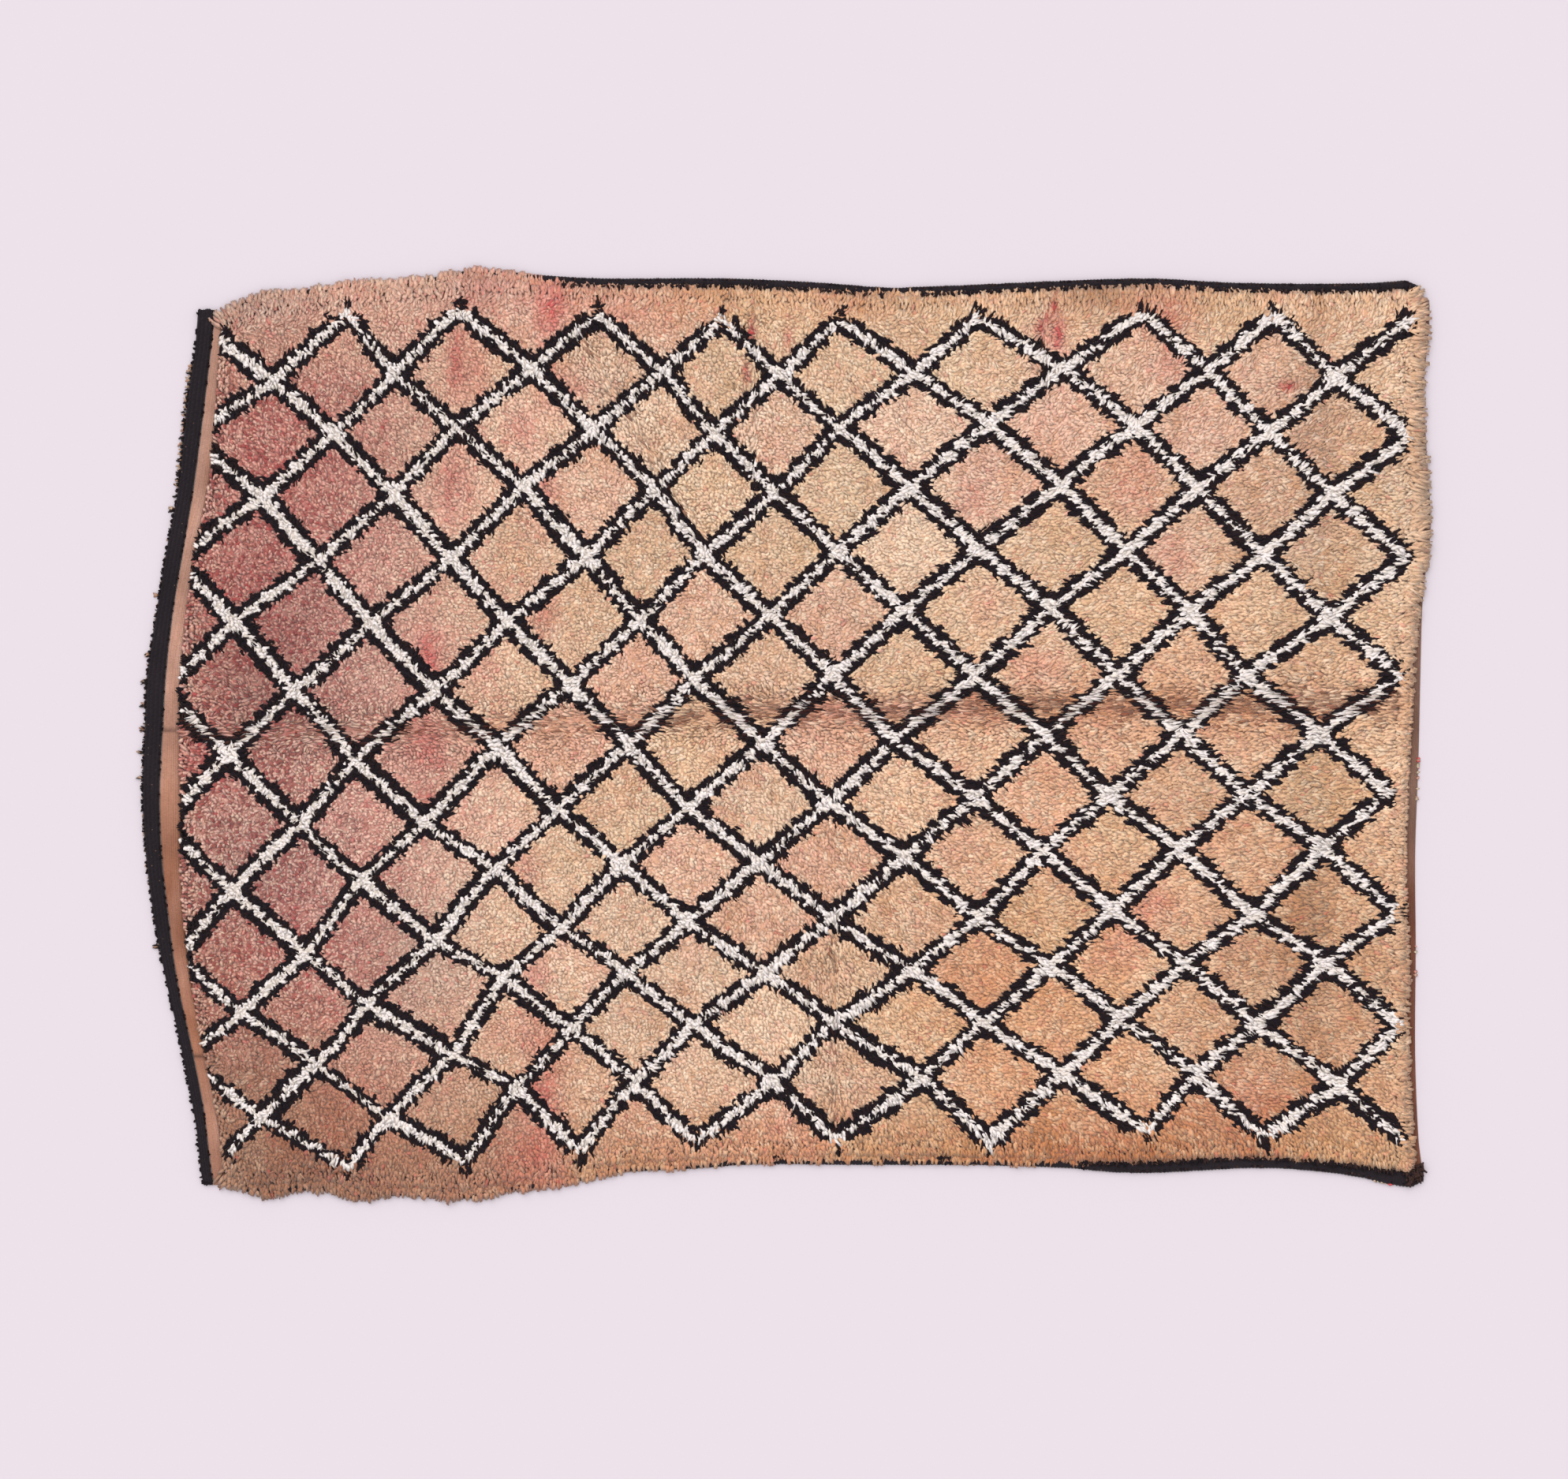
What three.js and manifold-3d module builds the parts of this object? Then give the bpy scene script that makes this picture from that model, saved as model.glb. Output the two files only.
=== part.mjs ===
// Boujaad rug, hand-knotted in wool, lying flat with its pile up.
// Millimetres. X runs along the length, Y across it and Z up. The underside is at Z = 0.
import * as THREE from 'three';
import { mergeVertices } from 'three/addons/utils/BufferGeometryUtils.js';
import Module from 'manifold-3d';

const wasm = await Module();
wasm.setup();

// Driving dimensions
const GAP = 0.3; // clearance between neighbouring pieces
const CLOTH_LENGTH = 2290; // pile cloth between its weaves, cords and bands
const CLOTH_WIDTH = 1690;
const PILE_HEIGHT = 15; // mean height of the shag over the floor
const CLUMP_RISE = 1.7; // how far a clump of shag stands above or below the mean
const SWELL_RISE = 1.2; // long, slow unevenness of the whole cloth
const SWELL_ALONG = 97;
const SWELL_ACROSS = 83;
const SWELL_WANDER = 134;
const RIM_HEIGHT = 13; // the shag leans down to this at the cloth's edge
const RIM_CLUMP_RISE = 0.7;
const CLUMP_PITCH = 43; // distance between clumps of shag
const CLUMP_SHIFT = 8; // how far a clump wanders from its row
const BACKING_WIDTH = 5; // strip that holds the roots of the edge locks
const BACKING_HEIGHT = 14;
const CORD_HEIGHT = 8; // overcast side cord
const CORD_WOBBLE = 0.4;
const CORD_SHOULDER = 4; // how far the cord's rounded outer edge reaches in
const CORD_TOE = 2.5;
const HEADING_HEIGHT = 4; // flat weave at the left end
const BAND_HEIGHT = 7.5; // black band at the left end
const BAND_SHOULDER = 4;
const BAND_TOE = 2;
const WEAVE_WIDTH = 22; // brown flat weave at the right end
const WEAVE_HEIGHT = 4;
const LOCK_PITCH = 24.5; // edge locks along the two long sides
const LOCK_PITCH_RIGHT = 26;
const LOCK_WIDTH = 15;
const LOCK_RISE = 4.4; // thickness of a lock at its root
const LOCK_LEAST_REACH = 4;
const LOCK_SPREAD = 3; // how much locks differ in width and reach
const LOCK_BEND = 0.72; // share of its reach where a lock starts to taper
const LOCK_SHIFT = 6; // how far a lock wanders along the edge
const LOCK_LEAN = 0.15; // how far it leans either way, in radians
const LOCK_DROOP = 2.5; // how far the tip sinks where it passes the edge
const WARP_END_PITCH = 8;
const WARP_END_WIDTH = 5;
const WARP_BACKING_HEIGHT = 2.8;

// Back side, one row for each change of the line: where its cord's outer edge runs, how wide the
// cord is, and how far the locks pass that edge. A negative pass leaves the black cord in sight.
const BACK_SIDE = [
  { x: -1080, edge: 790, cord: 18, pass: 6 },
  { x: -1047, edge: 819, cord: 18, pass: 7 },
  { x: -1012, edge: 834, cord: 18, pass: 7 },
  { x: -900, edge: 847, cord: 18, pass: 7 },
  { x: -807, edge: 860, cord: 18, pass: 7 },
  { x: -657, edge: 870, cord: 18, pass: 7 },
  { x: -612, edge: 883, cord: 18, pass: 8 },
  { x: -537, edge: 880, cord: 18, pass: 5 },
  { x: -465, edge: 873, cord: 18, pass: -3 },
  { x: -357, edge: 867, cord: 18, pass: -8 },
  { x: -117, edge: 867, cord: 18, pass: -10 },
  { x: 63, edge: 859, cord: 18, pass: -9 },
  { x: 195, edge: 849, cord: 18, pass: 0 },
  { x: 250, edge: 851, cord: 18, pass: -1 },
  { x: 333, edge: 854, cord: 18, pass: -8 },
  { x: 513, edge: 862, cord: 18, pass: -10 },
  { x: 693, edge: 867, cord: 18, pass: -8 },
  { x: 843, edge: 859, cord: 18, pass: -8 },
  { x: 1053, edge: 857, cord: 18, pass: -13 },
  { x: 1150, edge: 860, cord: 18, pass: -12 },
  { x: 1190, edge: 862, cord: 18, pass: -3 },
  { x: 1225, edge: 838, cord: 18, pass: 3 },
];

// Front side, in the same columns.
const FRONT_SIDE = [
  { x: -1090, edge: -856, cord: 18, pass: 4 },
  { x: -1047, edge: -863, cord: 18, pass: 7 },
  { x: -1020, edge: -876, cord: 18, pass: 8 },
  { x: -972, edge: -877, cord: 18, pass: 8 },
  { x: -897, edge: -868, cord: 18, pass: 7 },
  { x: -807, edge: -884, cord: 18, pass: 8 },
  { x: -747, edge: -879, cord: 18, pass: 6 },
  { x: -608, edge: -886, cord: 18, pass: 7 },
  { x: -537, edge: -872, cord: 18, pass: 5 },
  { x: -447, edge: -863, cord: 18, pass: 5 },
  { x: -397, edge: -853, cord: 18, pass: 5 },
  { x: -357, edge: -841, cord: 18, pass: 4 },
  { x: -307, edge: -835, cord: 18, pass: 3 },
  { x: -157, edge: -827, cord: 18, pass: 2 },
  { x: -57, edge: -820, cord: 18, pass: 1 },
  { x: 93, edge: -821, cord: 18, pass: 0 },
  { x: 363, edge: -822, cord: 18, pass: 0 },
  { x: 530, edge: -827, cord: 18, pass: -2 },
  { x: 600, edge: -834, cord: 20, pass: -12 },
  { x: 693, edge: -837, cord: 24, pass: -18 },
  { x: 783, edge: -832, cord: 24, pass: -17 },
  { x: 903, edge: -827, cord: 22, pass: -13 },
  { x: 993, edge: -832, cord: 22, pass: -14 },
  { x: 1083, edge: -843, cord: 24, pass: -17 },
  { x: 1130, edge: -855, cord: 28, pass: -22 },
  { x: 1190, edge: -864, cord: 30, pass: -24 },
  { x: 1225, edge: -842, cord: 30, pass: -18 },
];

// Right end: where the brown weave's outer edge runs, and how far the locks pass it.
const RIGHT_END = [
  { y: -870, edge: 1213, pass: -12 },
  { y: -835, edge: 1211, pass: -12 },
  { y: -785, edge: 1204, pass: -11 },
  { y: -615, edge: 1197, pass: -12 },
  { y: -405, edge: 1198, pass: -14 },
  { y: -225, edge: 1197, pass: -15 },
  { y: -55, edge: 1203, pass: -16 },
  { y: 120, edge: 1207, pass: -8 },
  { y: 255, edge: 1211, pass: 1 },
  { y: 310, edge: 1217, pass: 4 },
  { y: 395, edge: 1227, pass: 7 },
  { y: 495, edge: 1221, pass: 6 },
  { y: 585, edge: 1216, pass: 6 },
  { y: 645, edge: 1212, pass: 6 },
  { y: 720, edge: 1218, pass: 7 },
  { y: 790, edge: 1225, pass: 7 },
  { y: 822, edge: 1223, pass: 7 },
  { y: 845, edge: 1213, pass: 6 },
  { y: 870, edge: 1196, pass: 4 },
];

// Left end: the black band's outer edge, and the widths of the band and of the heading beside it.
const LEFT_END = [
  { y: -862, outer: -1112, band: 20, heading: 27 },
  { y: -825, outer: -1119, band: 20, heading: 26 },
  { y: -765, outer: -1124, band: 18, heading: 27 },
  { y: -705, outer: -1134, band: 20, heading: 26 },
  { y: -585, outer: -1158, band: 20, heading: 24 },
  { y: -465, outer: -1185, band: 21, heading: 28 },
  { y: -345, outer: -1208, band: 28, heading: 30 },
  { y: -225, outer: -1223, band: 30, heading: 38 },
  { y: -105, outer: -1229, band: 33, heading: 42 },
  { y: 15, outer: -1224, band: 34, heading: 34 },
  { y: 105, outer: -1221, band: 36, heading: 30 },
  { y: 225, outer: -1203, band: 31, heading: 29 },
  { y: 345, outer: -1184, band: 32, heading: 24 },
  { y: 465, outer: -1161, band: 29, heading: 30 },
  { y: 585, outer: -1149, band: 33, heading: 26 },
  { y: 675, outer: -1138, band: 33, heading: 21 },
  { y: 735, outer: -1128, band: 30, heading: 19 },
  { y: 795, outer: -1124, band: 33, heading: 16 },
  { y: 815, outer: -1122, band: 33, heading: 17 },
];

// Creases where the cloth has been folded: a straight stretch each, with its depth and half width.
const CREASES = [
  { x1: -1160, y1: 8, x2: -800, y2: 0, depth: 3.5, half: 42 },
  { x1: -800, y1: 0, x2: -290, y2: 27, depth: 3, half: 42 },
  { x1: -290, y1: 27, x2: 280, y2: 48, depth: 4, half: 45 },
  { x1: 280, y1: 48, x2: 1190, y2: 60, depth: 4.5, half: 45 },
  { x1: -680, y1: 860, x2: -690, y2: -870, depth: 1.5, half: 40 },
  { x1: -57, y1: 840, x2: -60, y2: 480, depth: 3, half: 40 },
  { x1: 93, y1: -340, x2: 93, y2: -760, depth: 3, half: 40 },
  { x1: -395, y1: 760, x2: -160, y2: 360, depth: 2.5, half: 42 },
  { x1: 490, y1: 850, x2: 495, y2: 640, depth: 2.5, half: 38 },
  { x1: 1038, y1: 850, x2: 1030, y2: -810, depth: 2, half: 45 },
];

// Knots in the cut warp, outside the black band, and the frayed stretch above them.
const WARP_KNOTS = [
  { y: -405, length: 7, width: 8 },
  { y: -82, length: 6, width: 7 },
  { y: -35, length: 10, width: 9 },
  { y: 10, length: 10, width: 9 },
  { y: 55, length: 10, width: 9 },
  { y: 101, length: 9, width: 9 },
  { y: 152, length: 10, width: 9 },
  { y: 265, length: 7, width: 7 },
  { y: 428, length: 10, width: 10 },
];
const FRAYED_FROM = 450;
const FRAYED_TO = 712;
const FRAYED_LENGTH = 7;
const WARP_BACKING_FROM = -425;
const WARP_BACKING_TO = 720;

const COLOURS = {
  pile: 0xdaa985,
  heading: 0xc89678,
  black: 0x1d1c23,
  brown: 0x6f574a,
  warp: 0xc3a48d,
};

// A steady stream of numbers from 0 to 1, the same at every run.
function seeded(seed) {
  let state = seed;
  return () => {
    state = (state * 1664525 + 1013904223) % 4294967296;
    return state / 4294967296;
  };
}

// A number from -1 to 1.
const either = (random) => random() * 2 - 1;

// A smooth curve through one column of a table, read at any place along its key.
function curve(table, key, column) {
  const at = table.map((row) => row[key]);
  const value = table.map((row) => row[column]);
  const last = at.length - 1;
  const slope = value.map((_, i) => {
    const before = Math.max(i - 1, 0);
    const after = Math.min(i + 1, last);
    return (value[after] - value[before]) / (at[after] - at[before]);
  });
  return (place) => {
    const p = THREE.MathUtils.clamp(place, at[0], at[last]);
    let i = 0;
    while (i < last - 1 && p > at[i + 1]) i += 1;
    const width = at[i + 1] - at[i];
    const t = (p - at[i]) / width;
    const rise = value[i] * (1 + 2 * t) * (1 - t) ** 2 + value[i + 1] * t * t * (3 - 2 * t);
    return rise + width * (slope[i] * t * (1 - t) ** 2 + slope[i + 1] * t * t * (t - 1));
  };
}

const backCordEdge = curve(BACK_SIDE, 'x', 'edge');
const backCordWidth = curve(BACK_SIDE, 'x', 'cord');
const backPass = curve(BACK_SIDE, 'x', 'pass');
const frontCordEdge = curve(FRONT_SIDE, 'x', 'edge');
const frontCordWidth = curve(FRONT_SIDE, 'x', 'cord');
const frontPass = curve(FRONT_SIDE, 'x', 'pass');
const weaveEdge = curve(RIGHT_END, 'y', 'edge');
const rightPass = curve(RIGHT_END, 'y', 'pass');
const bandOuter = curve(LEFT_END, 'y', 'outer');
const bandWidth = curve(LEFT_END, 'y', 'band');
const headingWidth = curve(LEFT_END, 'y', 'heading');

// The edges of the pile cloth itself, inside its backing strips, cords and weaves.
const SIDE_STRIP = GAP + BACKING_WIDTH + GAP;
const clothBack = (x) => backCordEdge(x) - backCordWidth(x) - SIDE_STRIP;
const clothFront = (x) => frontCordEdge(x) + frontCordWidth(x) + SIDE_STRIP;
const clothRight = (y) => weaveEdge(y) - WEAVE_WIDTH - SIDE_STRIP;
const bandInner = (y) => bandOuter(y) + bandWidth(y);
const clothLeft = (y) => bandInner(y) + headingWidth(y);

// The point of the cloth a share s along its length and t across its width, moved on by dx and dy.
// Each edge's place depends on the other's, so the two are found by turns.
const SETTLING_TURNS = 8;

function clothPoint(s, t, dx = 0, dy = 0) {
  let x = (s - 0.5) * CLOTH_LENGTH;
  let y = (t - 0.5) * CLOTH_WIDTH;
  for (let turn = 0; turn < SETTLING_TURNS; turn += 1) {
    y = THREE.MathUtils.lerp(clothFront(x), clothBack(x), t) + dy;
    x = THREE.MathUtils.lerp(clothLeft(y), clothRight(y), s) + dx;
  }
  return [x, y];
}

const COLUMNS = Math.round(CLOTH_LENGTH / CLUMP_PITCH);
const ROWS = Math.round(CLOTH_WIDTH / CLUMP_PITCH);
const steps = (count) => Array.from({ length: count + 1 }, (_, i) => i / count);

// A closed body from points and triangles, turned so that its faces point out.
function body(points, triangles) {
  let volume = 0;
  for (const [a, b, c] of triangles) {
    const [p, q, r] = [points[a], points[b], points[c]];
    volume += p[0] * (q[1] * r[2] - q[2] * r[1]);
    volume += p[1] * (q[2] * r[0] - q[0] * r[2]);
    volume += p[2] * (q[0] * r[1] - q[1] * r[0]);
  }
  const geometry = new THREE.BufferGeometry();
  geometry.setAttribute('position', new THREE.Float32BufferAttribute(points.flat(), 3));
  const outward = volume > 0 ? triangles : triangles.map(([a, b, c]) => [a, c, b]);
  geometry.setIndex(outward.flat());
  return geometry;
}

// A closed bar through a row of rings, each ring being the same outline of points.
function loft(rings, outline) {
  const sides = outline.length;
  const points = rings.flat();
  const triangles = [];
  for (let i = 0; i < rings.length - 1; i += 1) {
    for (let j = 0; j < sides; j += 1) {
      const a = i * sides + j;
      const b = i * sides + ((j + 1) % sides);
      triangles.push([a, b, b + sides], [a, b + sides, a + sides]);
    }
  }
  const flat = outline.map(([u, v]) => new THREE.Vector2(u, v));
  const cap = THREE.ShapeUtils.triangulateShape(flat, []);
  const end = (rings.length - 1) * sides;
  for (const [a, b, c] of cap) {
    triangles.push([a, c, b], [end + a, end + b, end + c]);
  }
  return body(points, orientCaps(points, triangles, sides, rings.length));
}

// The caps must run against the side faces that share their edges.
function orientCaps(points, triangles, sides, ringCount) {
  const wall = triangles.slice(0, (ringCount - 1) * sides * 2);
  const caps = triangles.slice((ringCount - 1) * sides * 2);
  const sidesOf = ([a, b, c]) => [`${a},${b}`, `${b},${c}`, `${c},${a}`];
  const used = new Set(wall.flatMap(sidesOf));
  const clash = caps.flatMap(sidesOf).some((side) => used.has(side));
  return clash ? [...wall, ...caps.map(([a, b, c]) => [a, c, b])] : triangles;
}

function manifold(geometry) {
  const bare = geometry.clone();
  bare.deleteAttribute('normal');
  bare.deleteAttribute('uv');
  const merged = mergeVertices(bare, 1e-4);
  const vertProperties = new Float32Array(merged.attributes.position.array);
  const triVerts = new Uint32Array(merged.index.array);
  return new wasm.Manifold(new wasm.Mesh({ numProp: 3, vertProperties, triVerts }));
}

function fromManifold(solid) {
  const mesh = solid.getMesh();
  const geometry = new THREE.BufferGeometry();
  geometry.setAttribute('position', new THREE.Float32BufferAttribute(mesh.vertProperties, 3));
  geometry.setIndex(Array.from(mesh.triVerts));
  return geometry;
}

function fused(backing, strands) {
  return fromManifold(strands.reduce((whole, strand) => whole.add(manifold(strand)), manifold(backing)));
}

const rug = new THREE.Group();

function addPiece(name, geometry, colour, roughness) {
  geometry.computeVertexNormals();
  const finish = { color: colour, roughness, metalness: 0, flatShading: true };
  const mesh = new THREE.Mesh(geometry, new THREE.MeshStandardMaterial(finish));
  mesh.name = name;
  rug.add(mesh);
}

// Pile cloth: a lumpy slab with a flat underside, sunk along its creases.
function distanceToStretch(x, y, { x1, y1, x2, y2 }) {
  const along = ((x - x1) * (x2 - x1) + (y - y1) * (y2 - y1)) / ((x2 - x1) ** 2 + (y2 - y1) ** 2);
  const t = THREE.MathUtils.clamp(along, 0, 1);
  return Math.hypot(x - x1 - t * (x2 - x1), y - y1 - t * (y2 - y1));
}

function creaseDepth(x, y) {
  const depths = CREASES.map((crease) => {
    const away = Math.min(distanceToStretch(x, y, crease) / crease.half, 1);
    return crease.depth * Math.cos((away * Math.PI) / 2) ** 2;
  });
  return Math.max(...depths);
}

function swell(x, y) {
  const along = Math.sin(x / SWELL_ALONG + Math.sin(y / SWELL_WANDER));
  const across = Math.sin(y / SWELL_ACROSS + Math.sin(x / SWELL_WANDER));
  return (SWELL_RISE * (along + across)) / 2;
}

function pileField() {
  const random = seeded(11);
  const points = [];
  const across = steps(ROWS);
  const along = steps(COLUMNS);
  for (const t of across) {
    for (const s of along) {
      const rim = s === 0 || s === 1 || t === 0 || t === 1;
      const shift = rim ? 0 : CLUMP_SHIFT;
      const [shiftX, shiftY] = [either(random) * shift, either(random) * shift];
      const [x, y] = clothPoint(s, t);
      const clump = either(random);
      const height = PILE_HEIGHT + swell(x, y) + clump * CLUMP_RISE - creaseDepth(x, y);
      points.push([x + shiftX, y + shiftY, rim ? RIM_HEIGHT + clump * RIM_CLUMP_RISE : height]);
    }
  }
  const at = (i, j) => j * (COLUMNS + 1) + i;
  const triangles = [];
  for (let j = 0; j < ROWS; j += 1) {
    for (let i = 0; i < COLUMNS; i += 1) {
      const [a, b, c, d] = [at(i, j), at(i + 1, j), at(i + 1, j + 1), at(i, j + 1)];
      if ((i + j) % 2) triangles.push([a, b, d], [b, c, d]);
      else triangles.push([a, b, c], [a, c, d]);
    }
  }
  const edge = [];
  for (let i = 0; i < COLUMNS; i += 1) edge.push(at(i, 0));
  for (let j = 0; j < ROWS; j += 1) edge.push(at(COLUMNS, j));
  for (let i = COLUMNS; i > 0; i -= 1) edge.push(at(i, ROWS));
  for (let j = ROWS; j > 0; j -= 1) edge.push(at(0, j));
  const foot = points.length;
  for (const e of edge) points.push([points[e][0], points[e][1], 0]);
  edge.forEach((e, k) => {
    const next = (k + 1) % edge.length;
    triangles.push([e, foot + k, foot + next], [e, foot + next, edge[next]]);
  });
  const contour = edge.map((e) => new THREE.Vector2(points[e][0], points[e][1]));
  for (const [a, b, c] of THREE.ShapeUtils.triangulateShape(contour, [])) {
    triangles.push([foot + a, foot + c, foot + b]);
  }
  return body(points, triangles);
}

addPiece('pile_field', pileField(), COLOURS.pile, 0.95);

// Places along the two long sides, from the heading to the right corner, and along the ends.
const SIDE_PLACES = steps(COLUMNS).map((s) => ({ s, dx: 0 }));
const CORNER = GAP + BACKING_WIDTH;
const END_PLACES = steps(ROWS).map((t) => ({ t, dy: 0 }));

// One side of the cloth: sign is 1 for the back and -1 for the front.
const SIDES = [
  { name: 'back', sign: 1, cordWidth: backCordWidth, pass: backPass },
  { name: 'front', sign: -1, cordWidth: frontCordWidth, pass: frontPass },
];

function sidePoint(sign, place, offset) {
  return clothPoint(place.s, sign > 0 ? 1 : 0, place.dx, sign * offset);
}

function alongSide(sign, places, outlineAt) {
  const rings = places.map((place) => {
    const [x] = sidePoint(sign, place, 0);
    return outlineAt(x).map(([offset, z]) => [...sidePoint(sign, place, offset), z]);
  });
  return loft(rings, outlineAt(0));
}

const between = (a, b, share) => [a[0] + (b[0] - a[0]) * share, a[1] + (b[1] - a[1]) * share];

// The two ends of the straight stretch of an edge that a place along it falls in.
function stretch(place, count, pointAt) {
  const first = Math.min(Math.floor(place * count), count - 1);
  return [pointAt(first / count), pointAt((first + 1) / count)];
}

// A lock of pile: three sides, thick at the root and drawn to a point, lying out over the edge.
// Its width follows the edge, given by a point a little further along, and it leans by some radians.
const LOCK_ROOT = 2;

function lock(root, further, lean, size) {
  const { reach, width, base, rise, droop } = size;
  const span = Math.hypot(further[0] - root[0], further[1] - root[1]);
  const [tx, ty] = [(further[0] - root[0]) / span, (further[1] - root[1]) / span];
  const [ux, uy] = [ty * Math.cos(lean) + tx * Math.sin(lean), ty * Math.sin(lean) - tx * Math.cos(lean)];
  const stages = [
    { out: -LOCK_ROOT, wide: 0.8, low: 0, high: 1 },
    { out: reach * LOCK_BEND, wide: 1, low: 0, high: 0.95 },
    { out: reach, wide: 0.3, low: -droop, high: 0.35 },
  ];
  const outline = [[-0.5, 0], [0.5, 0], [0, 1]];
  const rings = stages.map(({ out, wide, low, high }) =>
    outline.map(([across, up]) => {
      const side = across * width * wide;
      const z = up ? base + rise * high : base + low;
      return [root[0] + ux * out + tx * side, root[1] + uy * out + ty * side, z];
    }),
  );
  return loft(rings, outline);
}

const LOCK_BASE = CORD_HEIGHT + CORD_WOBBLE + GAP + 0.2;
const ROOT_DEPTH = 1.5; // how far a lock's root reaches back into its backing
const ROOT_OFFSET = GAP + BACKING_WIDTH - ROOT_DEPTH;

const lean = (random) => either(random) * LOCK_LEAN;

// The size of one edge lock that covers some millimetres of the cord or weave beside it.
function lockSize(cover, pass, random) {
  return {
    reach: Math.max(LOCK_LEAST_REACH, ROOT_DEPTH + GAP + cover + (either(random) * LOCK_SPREAD) / 2),
    width: LOCK_WIDTH + (either(random) * LOCK_SPREAD) / 2,
    base: LOCK_BASE,
    rise: LOCK_RISE + either(random) / 2,
    droop: pass > LOCK_DROOP ? LOCK_DROOP : 0,
  };
}

const rectangle = (from, to, height) => [[from, 0], [to, 0], [to, height], [from, height]];
const SIDE_LOCKS_FROM = 0.004; // shares of the side between which its locks are set
const SIDE_LOCKS_TO = 0.996;

for (const { name, sign, cordWidth, pass } of SIDES) {
  const random = seeded(sign > 0 ? 23 : 37);
  const backingPlaces = [...SIDE_PLACES, { s: 1, dx: CORNER }];
  const backing = alongSide(sign, backingPlaces, () => rectangle(GAP, GAP + BACKING_WIDTH, BACKING_HEIGHT));
  const length = sidePoint(sign, { s: 1, dx: 0 }, 0)[0] - sidePoint(sign, { s: 0, dx: 0 }, 0)[0];
  const count = Math.floor(length / LOCK_PITCH);
  const strands = steps(count - 1).map((share) => {
    const middle = THREE.MathUtils.lerp(SIDE_LOCKS_FROM, SIDE_LOCKS_TO, share);
    const s = middle + (either(random) * LOCK_SHIFT) / 2 / length;
    const edgeAt = (share) => sidePoint(sign, { s: share, dx: 0 }, ROOT_OFFSET);
    const [from, to] = stretch(s, COLUMNS, edgeAt);
    const root = between(from, to, s * COLUMNS - Math.floor(s * COLUMNS));
    const further = sign > 0 ? from : to;
    const cover = cordWidth(root[0]) + pass(root[0]);
    return lock(root, further, lean(random), lockSize(cover, pass(root[0]), random));
  });
  addPiece(`locks_${name}`, fused(backing, strands), COLOURS.pile, 0.95);

  const wobble = seeded(sign > 0 ? 51 : 67);
  const cordPlaces = [...SIDE_PLACES, { s: 1, dx: CORNER }, { s: 1, dx: CORNER + GAP + WEAVE_WIDTH }];
  const inner = GAP + BACKING_WIDTH + GAP;
  const cord = alongSide(sign, cordPlaces, (x) => {
    const outer = inner + cordWidth(x);
    const top = CORD_HEIGHT + either(wobble) * CORD_WOBBLE;
    return [
      [inner, 0],
      [outer - CORD_TOE, 0],
      [outer, top / 2],
      [outer - CORD_SHOULDER, top],
      [inner + CORD_TOE, top],
      [inner, top - CORD_TOE],
    ];
  });
  addPiece(`selvedge_${name}`, cord, COLOURS.black, 0.9);
}

// Right end: locks over a narrow backing, then the brown flat weave.
function endPoint(place, offset) {
  return clothPoint(1, place.t, offset, place.dy);
}

function alongRight(places, outline) {
  const rings = places.map((place) => outline.map(([offset, z]) => [...endPoint(place, offset), z]));
  return loft(rings, outline);
}

const RIGHT_LOCKS_FROM = 0.01;
const RIGHT_LOCKS_TO = 0.984;

function rightEnd() {
  const random = seeded(83);
  const backing = alongRight(END_PLACES, rectangle(GAP, GAP + BACKING_WIDTH, BACKING_HEIGHT));
  const length = endPoint({ t: 1, dy: 0 }, 0)[1] - endPoint({ t: 0, dy: 0 }, 0)[1];
  const count = Math.floor(length / LOCK_PITCH_RIGHT);
  const strands = steps(count - 1).map((share) => {
    const middle = THREE.MathUtils.lerp(RIGHT_LOCKS_FROM, RIGHT_LOCKS_TO, share);
    const t = middle + (either(random) * LOCK_SHIFT) / 2 / length;
    const edgeAt = (share) => endPoint({ t: share, dy: 0 }, ROOT_OFFSET);
    const [from, to] = stretch(t, ROWS, edgeAt);
    const root = between(from, to, t * ROWS - Math.floor(t * ROWS));
    const pass = rightPass(root[1]);
    return lock(root, to, lean(random), lockSize(WEAVE_WIDTH + pass, pass, random));
  });
  addPiece('locks_right', fused(backing, strands), COLOURS.pile, 0.95);

  const weaveFrom = GAP + BACKING_WIDTH + GAP;
  const weavePlaces = [{ t: 0, dy: -CORNER }, ...END_PLACES, { t: 1, dy: CORNER }];
  const weave = alongRight(weavePlaces, rectangle(weaveFrom, weaveFrom + WEAVE_WIDTH, WEAVE_HEIGHT));
  addPiece('end_weave_brown', weave, COLOURS.brown, 0.95);
}

rightEnd();

// Left end: heading, black band and the cut warp ends under its outer edge.
const HEADING_PAST_BACK = 24; // the heading and band run on past the cloth's corners
const HEADING_PAST_FRONT = 25;
const BAND_PAST_BACK = 38;
const BAND_PAST_FRONT = 24;

function leftHeights(pastFront, pastBack) {
  const inner = END_PLACES.map(({ t }) => clothPoint(0, t)[1]);
  return [inner[0] - pastFront, ...inner, inner[inner.length - 1] + pastBack];
}

function headingWeave() {
  const rings = leftHeights(HEADING_PAST_FRONT, HEADING_PAST_BACK).map((y) => {
    const from = bandInner(y) + GAP;
    const to = clothLeft(y) - GAP;
    return rectangle(from, to, HEADING_HEIGHT).map(([x, z]) => [x, y, z]);
  });
  return loft(rings, rectangle(0, 1, 1));
}

addPiece('heading_weave', headingWeave(), COLOURS.heading, 0.95);

const UNDERCUT = 4.2; // the band's outer edge stands clear of the floor, over the warp ends

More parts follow.
